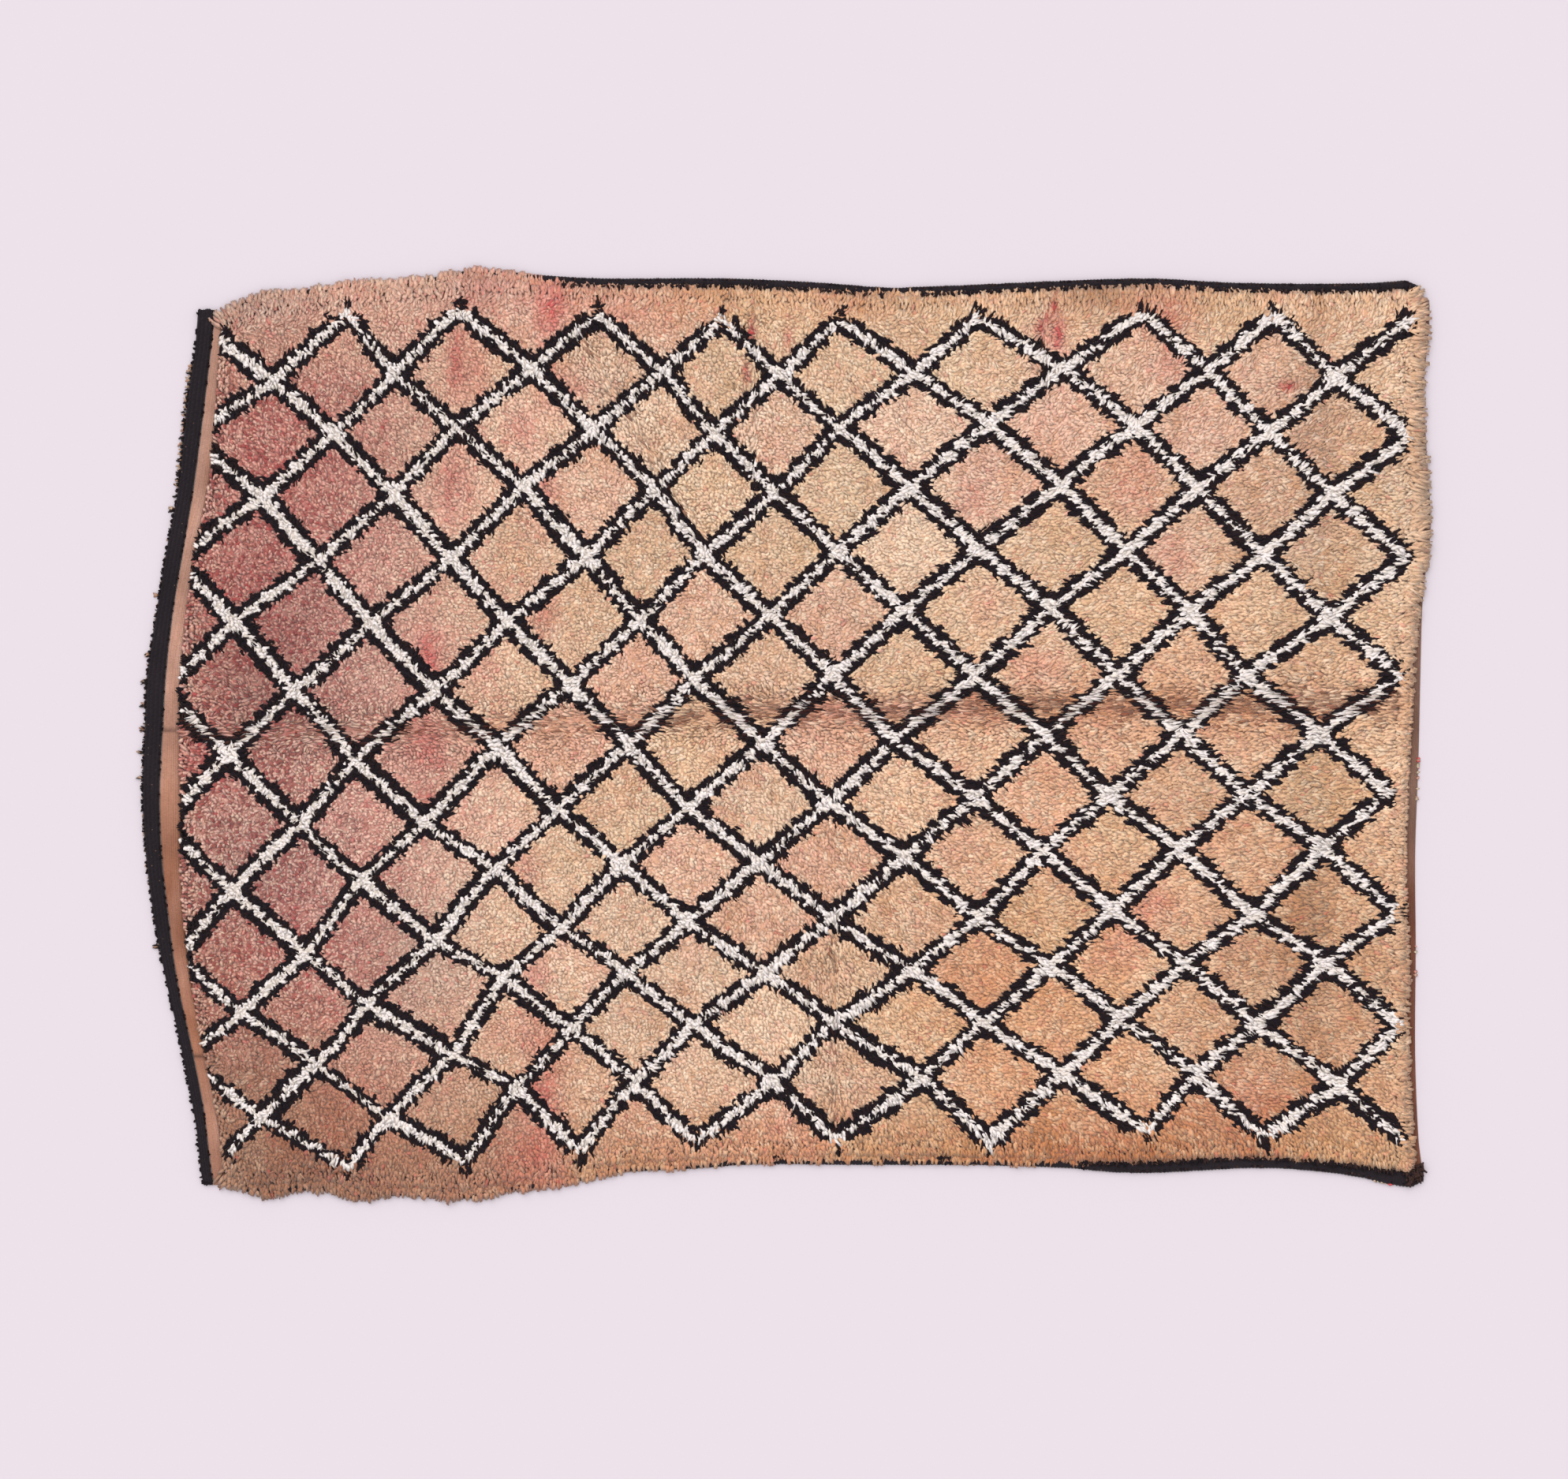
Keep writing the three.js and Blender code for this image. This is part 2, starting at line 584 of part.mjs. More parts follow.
function bandOutline(width) {
  const shoulder = WARP_BACKING_HEIGHT + GAP;
  const waist = BAND_HEIGHT - BAND_TOE;
  return [
    [UNDERCUT, 0],
    [width - BAND_TOE, 0],
    [width, BAND_TOE],
    [width, waist],
    [width - BAND_SHOULDER, BAND_HEIGHT],
    [BAND_SHOULDER, BAND_HEIGHT],
    [0, waist],
    [0, shoulder],
    [UNDERCUT, shoulder],
  ];
}

function endBand() {
  const rings = leftHeights(BAND_PAST_FRONT, BAND_PAST_BACK).map((y) =>
    bandOutline(bandWidth(y)).map(([offset, z]) => [bandOuter(y) + offset, y, z]),
  );
  return loft(rings, bandOutline(bandWidth(0)));
}

addPiece('end_band_black', endBand(), COLOURS.black, 0.9);

const WARP_STRIP_PAST = 0.5; // how far the strip under the warp ends passes the band's edge

function warpEnds() {
  const random = seeded(97);
  const inside = leftHeights(0, 0).filter((y) => y > WARP_BACKING_FROM && y < WARP_BACKING_TO);
  const heights = [WARP_BACKING_FROM, ...inside, WARP_BACKING_TO];
  const strip = rectangle(-WARP_STRIP_PAST, UNDERCUT - GAP, WARP_BACKING_HEIGHT);
  const rings = heights.map((y) => strip.map(([offset, z]) => [bandOuter(y) + offset, y, z]));
  const strands = WARP_KNOTS.map(({ y, length, width }) => strand(y, length, width, random));
  for (let y = FRAYED_FROM; y < FRAYED_TO; y += WARP_END_PITCH) {
    strands.push(strand(y, FRAYED_LENGTH + either(random) * 2, WARP_END_WIDTH, random));
  }
  return fused(loft(rings, strip), strands);
}

function strand(y, length, width, random) {
  const root = [bandOuter(y) + WARP_STRIP_PAST, y];
  const further = [bandOuter(y - 1) + WARP_STRIP_PAST, y - 1];
  const size = { reach: length, width, base: 0, rise: WARP_BACKING_HEIGHT, droop: 0 };
  return lock(root, further, lean(random), size);
}

addPiece('warp_ends_left', warpEnds(), COLOURS.warp, 0.95);

// The middle of the whole outline stands over the origin.
const middle = new THREE.Box3().setFromObject(rug).getCenter(new THREE.Vector3());
for (const piece of rug.children) piece.geometry.translate(-middle.x, -middle.y, 0);

export default rug;
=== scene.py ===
import math

import bmesh
import bpy
import numpy as np
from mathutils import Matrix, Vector, noise
from mathutils.bvhtree import BVHTree


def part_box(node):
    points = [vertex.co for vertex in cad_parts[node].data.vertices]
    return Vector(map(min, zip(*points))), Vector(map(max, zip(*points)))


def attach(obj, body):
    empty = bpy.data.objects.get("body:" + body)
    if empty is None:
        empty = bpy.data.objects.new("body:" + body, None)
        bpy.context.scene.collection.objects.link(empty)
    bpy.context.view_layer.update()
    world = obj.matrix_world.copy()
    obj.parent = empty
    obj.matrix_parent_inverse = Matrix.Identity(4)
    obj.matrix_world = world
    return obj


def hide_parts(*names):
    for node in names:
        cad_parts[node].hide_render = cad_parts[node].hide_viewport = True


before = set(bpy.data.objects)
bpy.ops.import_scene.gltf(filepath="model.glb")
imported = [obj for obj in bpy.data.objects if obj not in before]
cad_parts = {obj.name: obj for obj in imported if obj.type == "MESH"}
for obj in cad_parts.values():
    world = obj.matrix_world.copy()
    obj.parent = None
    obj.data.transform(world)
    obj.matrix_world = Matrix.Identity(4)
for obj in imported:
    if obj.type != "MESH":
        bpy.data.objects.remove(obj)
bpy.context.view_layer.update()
MM = 0.001


def table(columns, *rows):
    """Rows of values under the names of their columns."""
    return [dict(zip(columns.split(), row)) for row in rows]


# The camera's view, straight down from above the floor
VIEW_WIDTH = 2982 * MM
VIEW_CENTRE = (-4.3 * MM, -10 * MM)
PICTURE_TOP = 15 * MM  # the height at which the view is that wide
LENS = 85
SENSOR = 36
FAR = 50  # the camera sees as far as this

# The pile, and the cloth that it is knotted on
CLOTH_LONG = 2.29
CLOTH_WIDE = 1.69
UNDERSIDE = 0.2 * MM  # the cloth's height over the floor
ROW_PITCH = 6.4 * MM  # rows of knots follow one another along the length
KNOT_PITCH = 6.2 * MM  # knots stand side by side across the width
KNOT_WANDER = 0.42  # in pitches
LOCK_WIDTH = 9.2 * MM
LOCK_THICK = 2.6 * MM
LOCK_SPREAD = 0.24  # how much locks differ in size
# A lock's darker sides are painted shade, together with the deeper dye nearer its root.
SIDE_LIT = (0.2, 0.9)  # how much of its tip's colour a lock keeps down its sides, left and right
TIP_SCATTER = 0.6 * MM
ROOT_DEPTH = 1.5 * MM  # of a lock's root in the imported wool
APEX_RISE = (0.4, 1.7)  # of a lock's bend over the pile's surface, in millimetres
TIP_DROP = (0, 1.2)  # of its tip under that surface
MASS_DEPTH = 0.9 * MM  # from the pile's surface down to where its locks are too packed to tell apart
MASS_RIM = 3.4 * MM  # the least height of that packed wool, at the cloth's edge
MASS_FALL = 14 * MM  # how far in from the edge it starts to fall to that
RIM_PITCH = 4.4 * MM  # from lock to lock along the cloth's edges
SIDE_ROWS = 5  # of locks that overlap at a long side
END_ROWS = 4

# The lattice's lines: a white core between two black outlines
WHITE_HALF = 6.4 * MM
CROSSING_SWELL = 2.2 * MM  # how much wider the lines grow where they cross
CROSSING_REACH = 20 * MM  # over how far they do so
LINE_HALF = 19.6 * MM
LINE_WAVER = 2.2 * MM  # over a hand's breadth
YARN_LONG = 11.5 * MM  # neighbouring knots are tied from one yarn, in groups of this size
YARN_WIDE = 9.5 * MM
YARN_WAVER = 1.6 * MM  # of the edges between such groups
YARN_SHIFT = 0.37  # from one course of groups to the next, in groups
# Where a line turns at the lattice's edge it ends in a spike of black, which thins out along that edge and
# away from it.
SIDE_SPIKE = {"along": 1.7, "away": 0.75, "blunt": 3 * MM}
END_SPIKE = {"along": 1.25, "left": 1.5, "right": 1.1}
LINE_LOCK_REACH = (1, 1.3, 1.2)  # against the peach ones: peach, black and white
LINE_LOCK_WIDTH = (1, 0.8, 1.0)
ROWS_OF_CROSSINGS = 14
COLUMNS_OF_CROSSINGS = 18

# Where the lattice's half-columns stand, in millimetres, from the back side to the front. Lines
# cross where a half-column and a half-row are both even or both odd.
HALF_COLUMNS = table(
    "back upper lower front",
    (-1125, -1160, -1185, -1060),
    (-975, -1050, -1056, -993),
    (-831, -895, -922, -831),
    (-745, -790, -808, -756),
    (-622, -640, -681, -610),
    (-483, -531, -555, -513),
    (-358, -381, -435, -391),
    (-235, -277, -313, -288),
    (-120, -156, -187, -171),
    (-13, -30, -52, -22),
    (102, 98, 84, 95),
    (242, 225, 225, 260),
    (362, 365, 360, 384),
    (515, 504, 492, 530),
    (677, 647, 623, 687),
    (795, 770, 750, 780),
    (927, 908, 885, 900),
    (1043, 1035, 1020, 1037),
    (1209, 1179, 1145, 1179),
)
COLUMN_STATIONS = {"even": (0, 4, 8, 14), "odd": (1, 5, 9, 13)}

# Where its half-rows run, in millimetres, from the left end to the right.
HALF_ROWS = table(
    "left inner_left middle inner_right right",
    (789, 808, 790, 793, 822),
    (670, 696, 681, 694, 687),
    (562, 583, 574, 591, 567),
    (452, 472, 459, 477, 456),
    (326, 334, 341, 351, 334),
    (213, 214, 226, 241, 222),
    (84, 84, 106, 112, 109),
    (-39, -24, -18, -3, 1),
    (-171, -183, -141, -122, -111),
    (-299, -258, -243, -224, -216),
    (-426, -393, -356, -351, -339),
    (-531, -464, -455, -441, -434),
    (-614, -623, -554, -549, -554),
    (-729, -674, -662, -648, -663),
    (-798, -813, -774, -776, -804),
)
ROW_STATIONS = {"even": (0, 4, 8, 12, 18), "odd": (1, 5, 9, 13, 17)}

# Crossings that the weaver set askew, with how far each is off in millimetres.
ASKEW = table(
    "column row x y",
    (0, 12, -45, 0),
    (1, 3, 21, 0),
    (2, 6, -18, 0),
    (2, 8, 0, 11),
    (2, 10, -13, -8),
    (2, 12, -30, 0),
    (2, 14, 0, -13),
    (3, 3, 23, -8),
    (3, 7, -15, -23),
    (4, 8, -8, 14),
    (4, 12, 5, 16),
    (5, 3, 8, 0),
    (7, 3, 8, 0),
    (3, 11, -11, -21),
    (3, 13, 0, -35),
    (6, 8, 0, 21),
    (6, 12, 0, 32),
    (11, 7, -18, 0),
    (12, 2, 21, 0),
    (13, 1, 10, 0),
    (13, 3, 10, 0),
    (14, 8, -10, 0),
    (14, 10, -19, 14),
    (14, 12, -28, 8),
    (14, 14, 0, 30),
    (15, 1, 8, 0),
    (16, 0, 0, -14),
    (16, 6, -24, 2),
    (16, 8, -9, 0),
    (16, 14, 9, 30),
    (17, 1, 0, -9),
    (17, 7, -9, 0),
    (17, 13, 12, -8),
    (18, 0, 6, -14),
    (18, 2, -8, 0),
    (18, 6, 14, 0),
    (18, 10, 12, 0),
    (18, 14, 16, 18),
)
ASKEW_SPREAD = 0.9  # in half-columns

# Where the white core and the whole line were knotted thinner, or wider where it is below 0, in millimetres
THIN = table(
    "x y reach white line",
    (1130, -750, 75, 3.2, 0),
    (1115, 760, 70, 2.6, 3),
    (20, 520, 60, 2.0, 0),
    (-560, 640, 70, 1.5, 2),
    (-850, -300, 500, 0.8, -0.6),
)

# Where the cloth has been folded and the pile parts, in millimetres.
PARTINGS = table(
    "x1 y1 x2 y2 half lean deep",
    (-1160, 8, -800, 0, 46, 180, 3.0),
    (-800, 0, -290, 27, 46, 0, 3.0),
    (-290, 27, 280, 48, 50, 0, 4.0),
    (280, 48, 1190, 60, 56, 0, 4.5),
    (-57, 840, -60, 480, 16, 90, 2.0),
    (93, -340, 93, -760, 16, -90, 2.5),
    (-395, 760, -160, 360, 22, -60, 2.5),
    (490, 850, 495, 640, 14, 90, 2.0),
)

# How the pile is brushed in broad patches: the way it leans, in degrees, and how far its tips reach.
BRUSHED = table(
    "x y long wide lean reach sure",
    (-480, 660, 700, 260, -72, 15, 0.8),
    (-850, 250, 350, 250, -50, 13, 0.4),
    (-850, -300, 350, 300, -60, 13, 0.2),
    (-780, -800, 420, 160, -102, 15, 0.6),
    (-400, -420, 260, 350, -57, 14, 0.45),
    (-250, 200, 320, 260, -25, 14, 0.4),
    (60, -420, 170, 330, -74, 18, 0.95),
    (320, 250, 300, 300, 3, 16, 0.6),
    (480, -400, 300, 330, -18, 16, 0.7),
    (700, 650, 420, 200, 40, 14, 0.35),
    (980, 120, 380, 420, 2, 19, 0.95),
    (980, -380, 380, 300, -14, 18, 0.8),
    (780, -820, 620, 170, -46, 16, 0.85),
    (-1120, 20, 120, 110, 0, 20, 0.95),
)
LEAST_SURE = 0.15  # the weight of the plain reach against that of the patches
PLAIN_REACH = 11
MARGIN_BRUSHED = 75 * MM  # the pile leans out over the two long sides from this far in
MARGIN_REACH = 17 * MM
PARTED_REACH = 27 * MM
LEAN_SCATTER = 0.42  # in radians

# How each wool shows in daylight: red, green and blue up to 255
WOOL = {
    "peach": (246, 210, 181),
    "cream": (252, 226, 200),
    "sand": (238, 204, 164),
    "apricot": (244, 194, 156),
    "rust": (220, 156, 116),
    "tan": (210, 152, 104),
    "blush": (236, 172, 152),
    "umber": (180, 126, 100),
    "dusk": (240, 198, 182),
    "rose": (222, 140, 132),
    "madder": (216, 84, 88),
    "crimson": (182, 56, 64),
    "wine": (148, 42, 52),
    # Painted shade for the partings, a dark reddish brown
    "parting_shade": (128, 66, 44),
    "red": (188, 30, 50),
    "white": (240, 229, 226),
    "ivory": (232, 218, 206),
    "black": (30, 23, 29),
    "brown_black": (42, 28, 28),
    "dark_brown": (74, 52, 46),
    "heading": (190, 148, 130),
    "heading_tan": (160, 106, 80),
    "taupe": (214, 170, 138),
    "grey_brown": (128, 98, 84),
    "red_brown": (122, 76, 58),
    "warp": (206, 186, 160),
}

# Broad patches of another tone in the faded pile, in millimetres.
TONES = table(
    "x y long wide tip deep share",
    (-860, 100, 330, 900, "dusk", "rose", 0.85),
    (-960, 560, 170, 210, "rose", "crimson", 0.45),
    (-1030, 260, 150, 190, "rose", "crimson", 0.45),
    (-1080, -60, 130, 160, "rose", "crimson", 0.4),
    (-960, -360, 190, 150, "rose", "madder", 0.3),
    (-1020, -700, 260, 220, "umber", "umber", 0.75),
    (-1120, 760, 170, 140, "umber", "umber", 0.35),
    (150, 480, 480, 330, "cream", "apricot", 0.6),
    (300, 600, 110, 190, "cream", "apricot", 0.6),
    (-150, -300, 420, 200, "cream", "apricot", 0.3),
    (80, -520, 130, 90, "cream", "apricot", 0.5),
    (-150, 830, 380, 90, "apricot", "rust", 0.5),
    (700, 830, 520, 80, "apricot", "rust", 0.55),
    (100, -810, 700, 110, "rust", "umber", 0.65),
    (800, -760, 460, 190, "rust", "umber", 0.75),
    (420, -520, 160, 150, "apricot", "rust", 0.6),
    (700, -150, 520, 420, "apricot", "rust", 0.45),
    (1010, 0, 55, 900, "rust", "umber", 0.45),
    (1010, 560, 40, 260, "taupe", "umber", 0.75),
    (1060, 300, 34, 150, "taupe", "umber", 0.6),
    (1000, -330, 46, 330, "taupe", "umber", 0.75),
    (900, 430, 60, 130, "taupe", "rust", 0.6),
    (850, -150, 130, 110, "taupe", "rust", 0.5),
    (870, -430, 110, 100, "taupe", "rust", 0.45),
    (1120, 560, 110, 260, "sand", "rust", 0.7),
    (1030, 180, 170, 170, "sand", "umber", 0.55),
    (1150, -500, 90, 330, "apricot", "umber", 0.4),
    (450, 45, 650, 46, "rust", "umber", 0.75),
    (-480, 20, 420, 40, "rust", "umber", 0.35),
    (-300, -30, 160, 70, "apricot", "rust", 0.5),
    (430, 520, 90, 90, "dusk", "rose", 0.4),
    (520, 430, 100, 90, "apricot", "rose", 0.5),
)

# Soiled and darker patches, in millimetres: the share of its red, green and blue that the wool there loses.
SOILED = table(
    "x y long wide loss",
    (-1000, -800, 420, 190, (0.3, 0.36, 0.4)),
    (-1090, -500, 130, 200, (0.14, 0.18, 0.2)),
    (60, -850, 800, 90, (0.06, 0.16, 0.28)),
    (900, -820, 480, 150, (0.14, 0.25, 0.35)),
    (1050, -420, 200, 330, (0.1, 0.15, 0.22)),
    (480, -520, 280, 220, (0.0, 0.07, 0.16)),
    (-1010, 140, 130, 190, (0.36, 0.4, 0.4)),
    (650, -200, 600, 550, (0.02, 0.07, 0.13)),
    (364, -464, 110, 120, (0.1, 0.2, 0.24)),
    (905, -464, 130, 140, (0.12, 0.15, 0.18)),
    (-715, -404, 130, 130, (0.15, 0.09, 0.07)),
    (-595, -740, 180, 130, (0.13, 0.22, 0.24)),
    (455, -815, 320, 90, (0.04, 0.16, 0.24)),
    (755, 110, 150, 110, (0.05, 0.12, 0.14)),
    (515, 586, 120, 110, (0.02, 0.14, 0.12)),
    (785, 586, 120, 110, (0.0, 0.1, 0.07)),
    (1055, 586, 110, 120, (0.09, 0.15, 0.14)),
    (-445, 819, 180, 60, (0.03, 0.16, 0.1)),
    (-25, 106, 120, 110, (0.06, 0.12, 0.1)),
    (95, -464, 120, 110, (0.04, 0.1, 0.16)),
    (-865, -734, 120, 110, (0.04, 0.22, 0.24)),
    (-985, -254, 130, 120, (0.14, 0.06, 0.03)),
    (-820, -870, 360, 70, (0.26, 0.34, 0.36)),
    (-295, -815, 120, 70, (0.1, 0.12, 0.2)),
    (450, -805, 600, 45, (0.05, 0.08, 0.13)),
    (-595, 852, 90, 60, (0.18, 0.26, 0.2)),
    (605, 840, 110, 50, (0.28, 0.34, 0.36)),
    (130, 817, 60, 35, (0.12, 0.25, 0.3)),
    (-1045, 815, 120, 50, (0.12, 0.06, 0)),
    (-950, 480, 260, 260, (0.1, 0.14, 0.14)),
    (-1060, -250, 130, 150, (0.1, 0.12, 0.12)),
    (500, 845, 700, 55, (0.08, 0.16, 0.24)),
    (-150, 845, 300, 55, (0.08, 0.16, 0.24)),
    (1010, 500, 40, 300, (0.12, 0.12, 0.1)),
    (950, 150, 30, 260, (0.1, 0.1, 0.1)),
    (985, -250, 26, 280, (0.12, 0.12, 0.12)),
)

# Stains and streaks where the old dye still shows, in millimetres.
STAINS = table(
    "x y long wide wool share",
    (-447, 818, 34, 62, "madder", 0.85),
    (-455, 700, 26, 60, "madder", 0.5),
    (-400, 655, 40, 30, "madder", 0.45),
    (-600, 700, 36, 90, "madder", 0.45),
    (-631, 712, 13, 60, "red", 0.6),
    (-620, 480, 34, 60, "madder", 0.35),
    (-641, 458, 12, 50, "red", 0.5),
    (-499, 578, 26, 40, "madder", 0.5),
    (-766, 585, 9, 14, "red", 0.8),
    (-462, 470, 36, 70, "madder", 0.45),
    (-462, 240, 30, 60, "madder", 0.5),
    (-600, 130, 40, 40, "madder", 0.3),
    (-683, 135, 24, 48, "madder", 0.8),
    (-682, 75, 9, 34, "red", 2.2),
    (-690, -10, 34, 46, "madder", 0.5),
    (-655, -55, 22, 14, "red", 0.5),
    (-680, -120, 24, 22, "red", 0.45),
    (-495, -250, 26, 40, "madder", 0.35),
    (-478, -455, 28, 52, "madder", 0.6),
    (-462, -690, 40, 90, "madder", 0.65),
    (-500, -560, 70, 50, "madder", 0.3),
    (-470, -800, 60, 60, "madder", 0.45),
    (-990, 520, 120, 130, "madder", 0.2),
    (-1040, 250, 110, 130, "madder", 0.2),
    (-1110, -20, 60, 70, "madder", 0.3),
    (-900, -400, 120, 130, "madder", 0.15),
    (-67, 765, 6, 26, "red", 1.2),
    (-78, 690, 7, 24, "red", 0.8),
    (3, 755, 7, 18, "madder", 0.9),
    (484, 774, 7, 14, "red", 1.0),
    (497, 792, 7, 14, "red", 1.0),
    (510, 812, 7, 16, "red", 1.0),
    (518, 755, 8, 24, "madder", 1.4),
    (500, 730, 34, 60, "madder", 0.5),
    (720, 790, 60, 60, "madder", 0.5),
    (735, 700, 50, 34, "madder", 0.35),
    (951, 661, 15, 8, "red", 1.0),
    (660, 465, 70, 60, "madder", 0.4),
    (740, 345, 60, 60, "madder", 0.35),
    (350, 455, 40, 44, "madder", 0.3),
    (380, 255, 34, 34, "madder", 0.25),
    (470, 120, 50, 40, "madder", 0.3),
    (200, 50, 160, 22, "rose", 0.5),
    (690, -315, 50, 50, "madder", 0.4),
    (640, -395, 60, 60, "madder", 0.35),
    (520, -230, 50, 60, "madder", 0.25),
    (880, -700, 90, 60, "madder", 0.25),
)


def mix(a, b, share):
    return a + (b - a) * share


def wool(name):
    """A wool's colour as linear values."""
    shown = np.array(WOOL[name]) / 255
    return np.where(shown <= 0.04045, shown / 12.92, ((shown + 0.055) / 1.055) ** 2.4)


def tinted(colour, name, share):
    """Colours with a share of a wool's own in them, for each point."""
    return mix(colour, wool(name), share[:, None])


def smooth_step(x):
    x = np.clip(x, 0, 1)
    return x * x * (3 - 2 * x)


def drift(x, y, size, seed):
    """A slow unevenness between about -1 and 1, a patch of it being about size across."""
    places = zip(np.ravel(x) / size, np.ravel(y) / size)
    found = [noise.noise(Vector((a, b, seed * 7.3))) for a, b in places]
    return np.array(found).reshape(np.shape(x)) * 1.7


def own_number(a, b):
    """A number between 0 and 1 for each pair of whole numbers."""
    own = np.sin(a * 12.9898 + b * 78.233) * 43758.5453
    return own - np.floor(own)


def cubic(at, values, place):
    """A smooth curve through values, read at any places."""
    at, values = np.array(at, float), np.array(values, float)
    steps = np.diff(values) / np.diff(at)
    inner = (values[2:] - values[:-2]) / (at[2:] - at[:-2])
    slopes = np.concatenate([steps[:1], inner, steps[-1:]])
    place = np.clip(place, at[0], at[-1])
    i = np.clip(np.searchsorted(at, place) - 1, 0, len(at) - 2)
    width = at[i + 1] - at[i]
    t = (place - at[i]) / width
    ends = values[i] * (1 + 2 * t) * (1 - t) ** 2 + values[i + 1] * t * t * (3 - 2 * t)
    return ends + width * (slopes[i] * t * (1 - t) ** 2 + slopes[i + 1] * t * t * (t - 1))


# The outline of the imported pieces, read from their meshes

STATIONS = (np.arange(-1.25, 1.25, 4 * MM), np.arange(-0.9, 0.91, 4 * MM))  # along X and along Y
TIP_WINDOW = 16 * MM


def plan_line(node, along, side):
    """How far a CAD node reaches to one side of the rug, at its stations. Along is 0 for X, 1 for Y."""
    stations = STATIONS[along]
    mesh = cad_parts[node].data
    points = np.array([v.co[:] for v in mesh.vertices])
    edges = np.array([e.vertices[:] for e in mesh.edges])
    a, b = points[edges[:, 0]], points[edges[:, 1]]
    low, high = np.minimum(a[:, along], b[:, along]), np.maximum(a[:, along], b[:, along])
    # Between the two corners at the ends of that side; past them the line is held.
    reach = side * points[:, 1 - along]
    corners = [points[np.argmax(way * points[:, along] + reach), along] for way in (-1, 1)]
    found = np.full(len(stations), np.nan)
    for k, station in enumerate(stations):
        if not corners[0] < station < corners[1]:
            continue
        hit = (low <= station) & (station <= high) & (high > low)
        if hit.any():
            t = (station - a[hit, along]) / (b[hit, along] - a[hit, along])
            reach = mix(a[hit, 1 - along], b[hit, 1 - along], t)
            found[k] = side * (side * reach).max()
    known = ~np.isnan(found)
    return np.interp(stations, stations[known], found[known])


def line_along(node, along, side):
    """How far a CAD node reaches to one side of the rug, at any places along it."""
    values = plan_line(node, along, side)
    return lambda place: np.interp(place, STATIONS[along], values)


def inner_and_outer(node, along, outward):
    """The two long edges of a narrow CAD node."""
    return line_along(node, along, -outward), line_along(node, along, outward)


def tip_line(node, along, side):
    """The reach of the locks' tips as one line: the furthest within a window, then evened out."""
    reach = plan_line(node, along, side) * side
    count = round(TIP_WINDOW / (STATIONS[along][1] - STATIONS[along][0]))
    window = 2 * count + 1
    furthest = np.lib.stride_tricks.sliding_window_view(np.pad(reach, count, "edge"), window).max(1)
    even = np.convolve(np.pad(furthest, count, "edge"), np.ones(window) / window, "valid")
    return lambda place: np.interp(place, STATIONS[along], even * side)


cloth_back, cloth_front = (line_along("pile_field", 0, side) for side in (1, -1))
cloth_right, cloth_left = (line_along("pile_field", 1, side) for side in (1, -1))
tips_right = tip_line("locks_right", 1, 1)

# What differs between the two long sides
SIDES = {
    "back": {
        "seed": 0,
        "out": 1,  # the way out, along Y
        "tips": tip_line("locks_back", 0, 1),
        "uneven": 0.11,  # how much the reach of its locks varies
        "short": 18 * MM,  # how far short of its solid the cord ends, under the corner's locks
        "pileward": 0.45,  # the share of the cord's cut ends that lie over the pile
        "length": 0.8,  # of the cord's ends, against the front's
        "height": 11.5,  # of the ends over the pile, in millimetres
        "droop": (0.8, 1.2),  # the share of that height that their tips keep
        "knob": 0,  # ends in the knob where the cord stops
        "bunches": (180, 262, 532, 820),  # where bunches of ends stand, in millimetres
    },
    "front": {
        "seed": 1,
        "out": -1,
        "tips": tip_line("locks_front", 0, -1),
        "uneven": 0.16,
        "short": 0,
        "pileward": 0.6,
        "length": 1,
        "height": 12.5,
        "droop": (0.3, 0.8),
        "knob": 70,
        "bunches": (-20, 300, 1010, 1080),
    },
}


def cloth_point(s, t, turns=8):
    """The point a share s along the cloth and t across it. The edges bend, so it is found by turns."""
    x, y = (s - 0.5) * 2.3, (t - 0.5) * 1.7
    for _ in range(turns):
        y = mix(cloth_front(x), cloth_back(x), t)
        x = mix(cloth_left(y), cloth_right(y), s)
    return x, y


def pile_top():
    """Reads the height of the lumpy CAD slab at any points."""
    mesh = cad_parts["pile_field"].data
    mesh.calc_loop_triangles()
    faces = [tuple(t.vertices) for t in mesh.loop_triangles]
    tree = BVHTree.FromPolygons([v.co[:] for v in mesh.vertices], faces)
    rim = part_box("locks_back")[1].z

    def height(x, y):
        down = Vector((0, 0, -1))
        hits = (tree.ray_cast(Vector((a, b, 1)), down)[0] for a, b in zip(x, y))
        return np.array([hit.z if hit else rim for hit in hits])

    return height


# The lattice

def crossing_grid():
    """Where each half-column meets each half-row, in metres, with the askew ones set off."""
    columns, rows = np.arange(COLUMNS_OF_CROSSINGS + 1.0), np.arange(ROWS_OF_CROSSINGS + 1.0)
    x = np.zeros((len(columns), len(rows)))
    y = np.zeros_like(x)
    for i, course in enumerate(HALF_COLUMNS):
        x[i] = cubic(COLUMN_STATIONS["odd" if i % 2 else "even"], list(course.values()), rows)
    for j, course in enumerate(HALF_ROWS):
        y[:, j] = cubic(ROW_STATIONS["odd" if j % 2 else "even"], list(course.values()), columns)
    for spot in ASKEW:
        away = np.hypot(columns[:, None] - spot["column"], rows[None] - spot["row"])
        share = np.exp(-((away / ASKEW_SPREAD) ** 2))
        x += spot["x"] * share
        y += spot["y"] * share
    return x * MM, y * MM


GRID_X, GRID_Y = crossing_grid()


def on_grid(grid, i, j):
    """The grid read between its crossings, and run on past its edges."""
    low_i = np.clip(np.floor(i).astype(int), 0, grid.shape[0] - 2)
    low_j = np.clip(np.floor(j).astype(int), 0, grid.shape[1] - 2)
    u, v = i - low_i, j - low_j
    near = mix(grid[low_i, low_j], grid[low_i + 1, low_j], u)
    return mix(near, mix(grid[low_i, low_j + 1], grid[low_i + 1, low_j + 1], u), v)


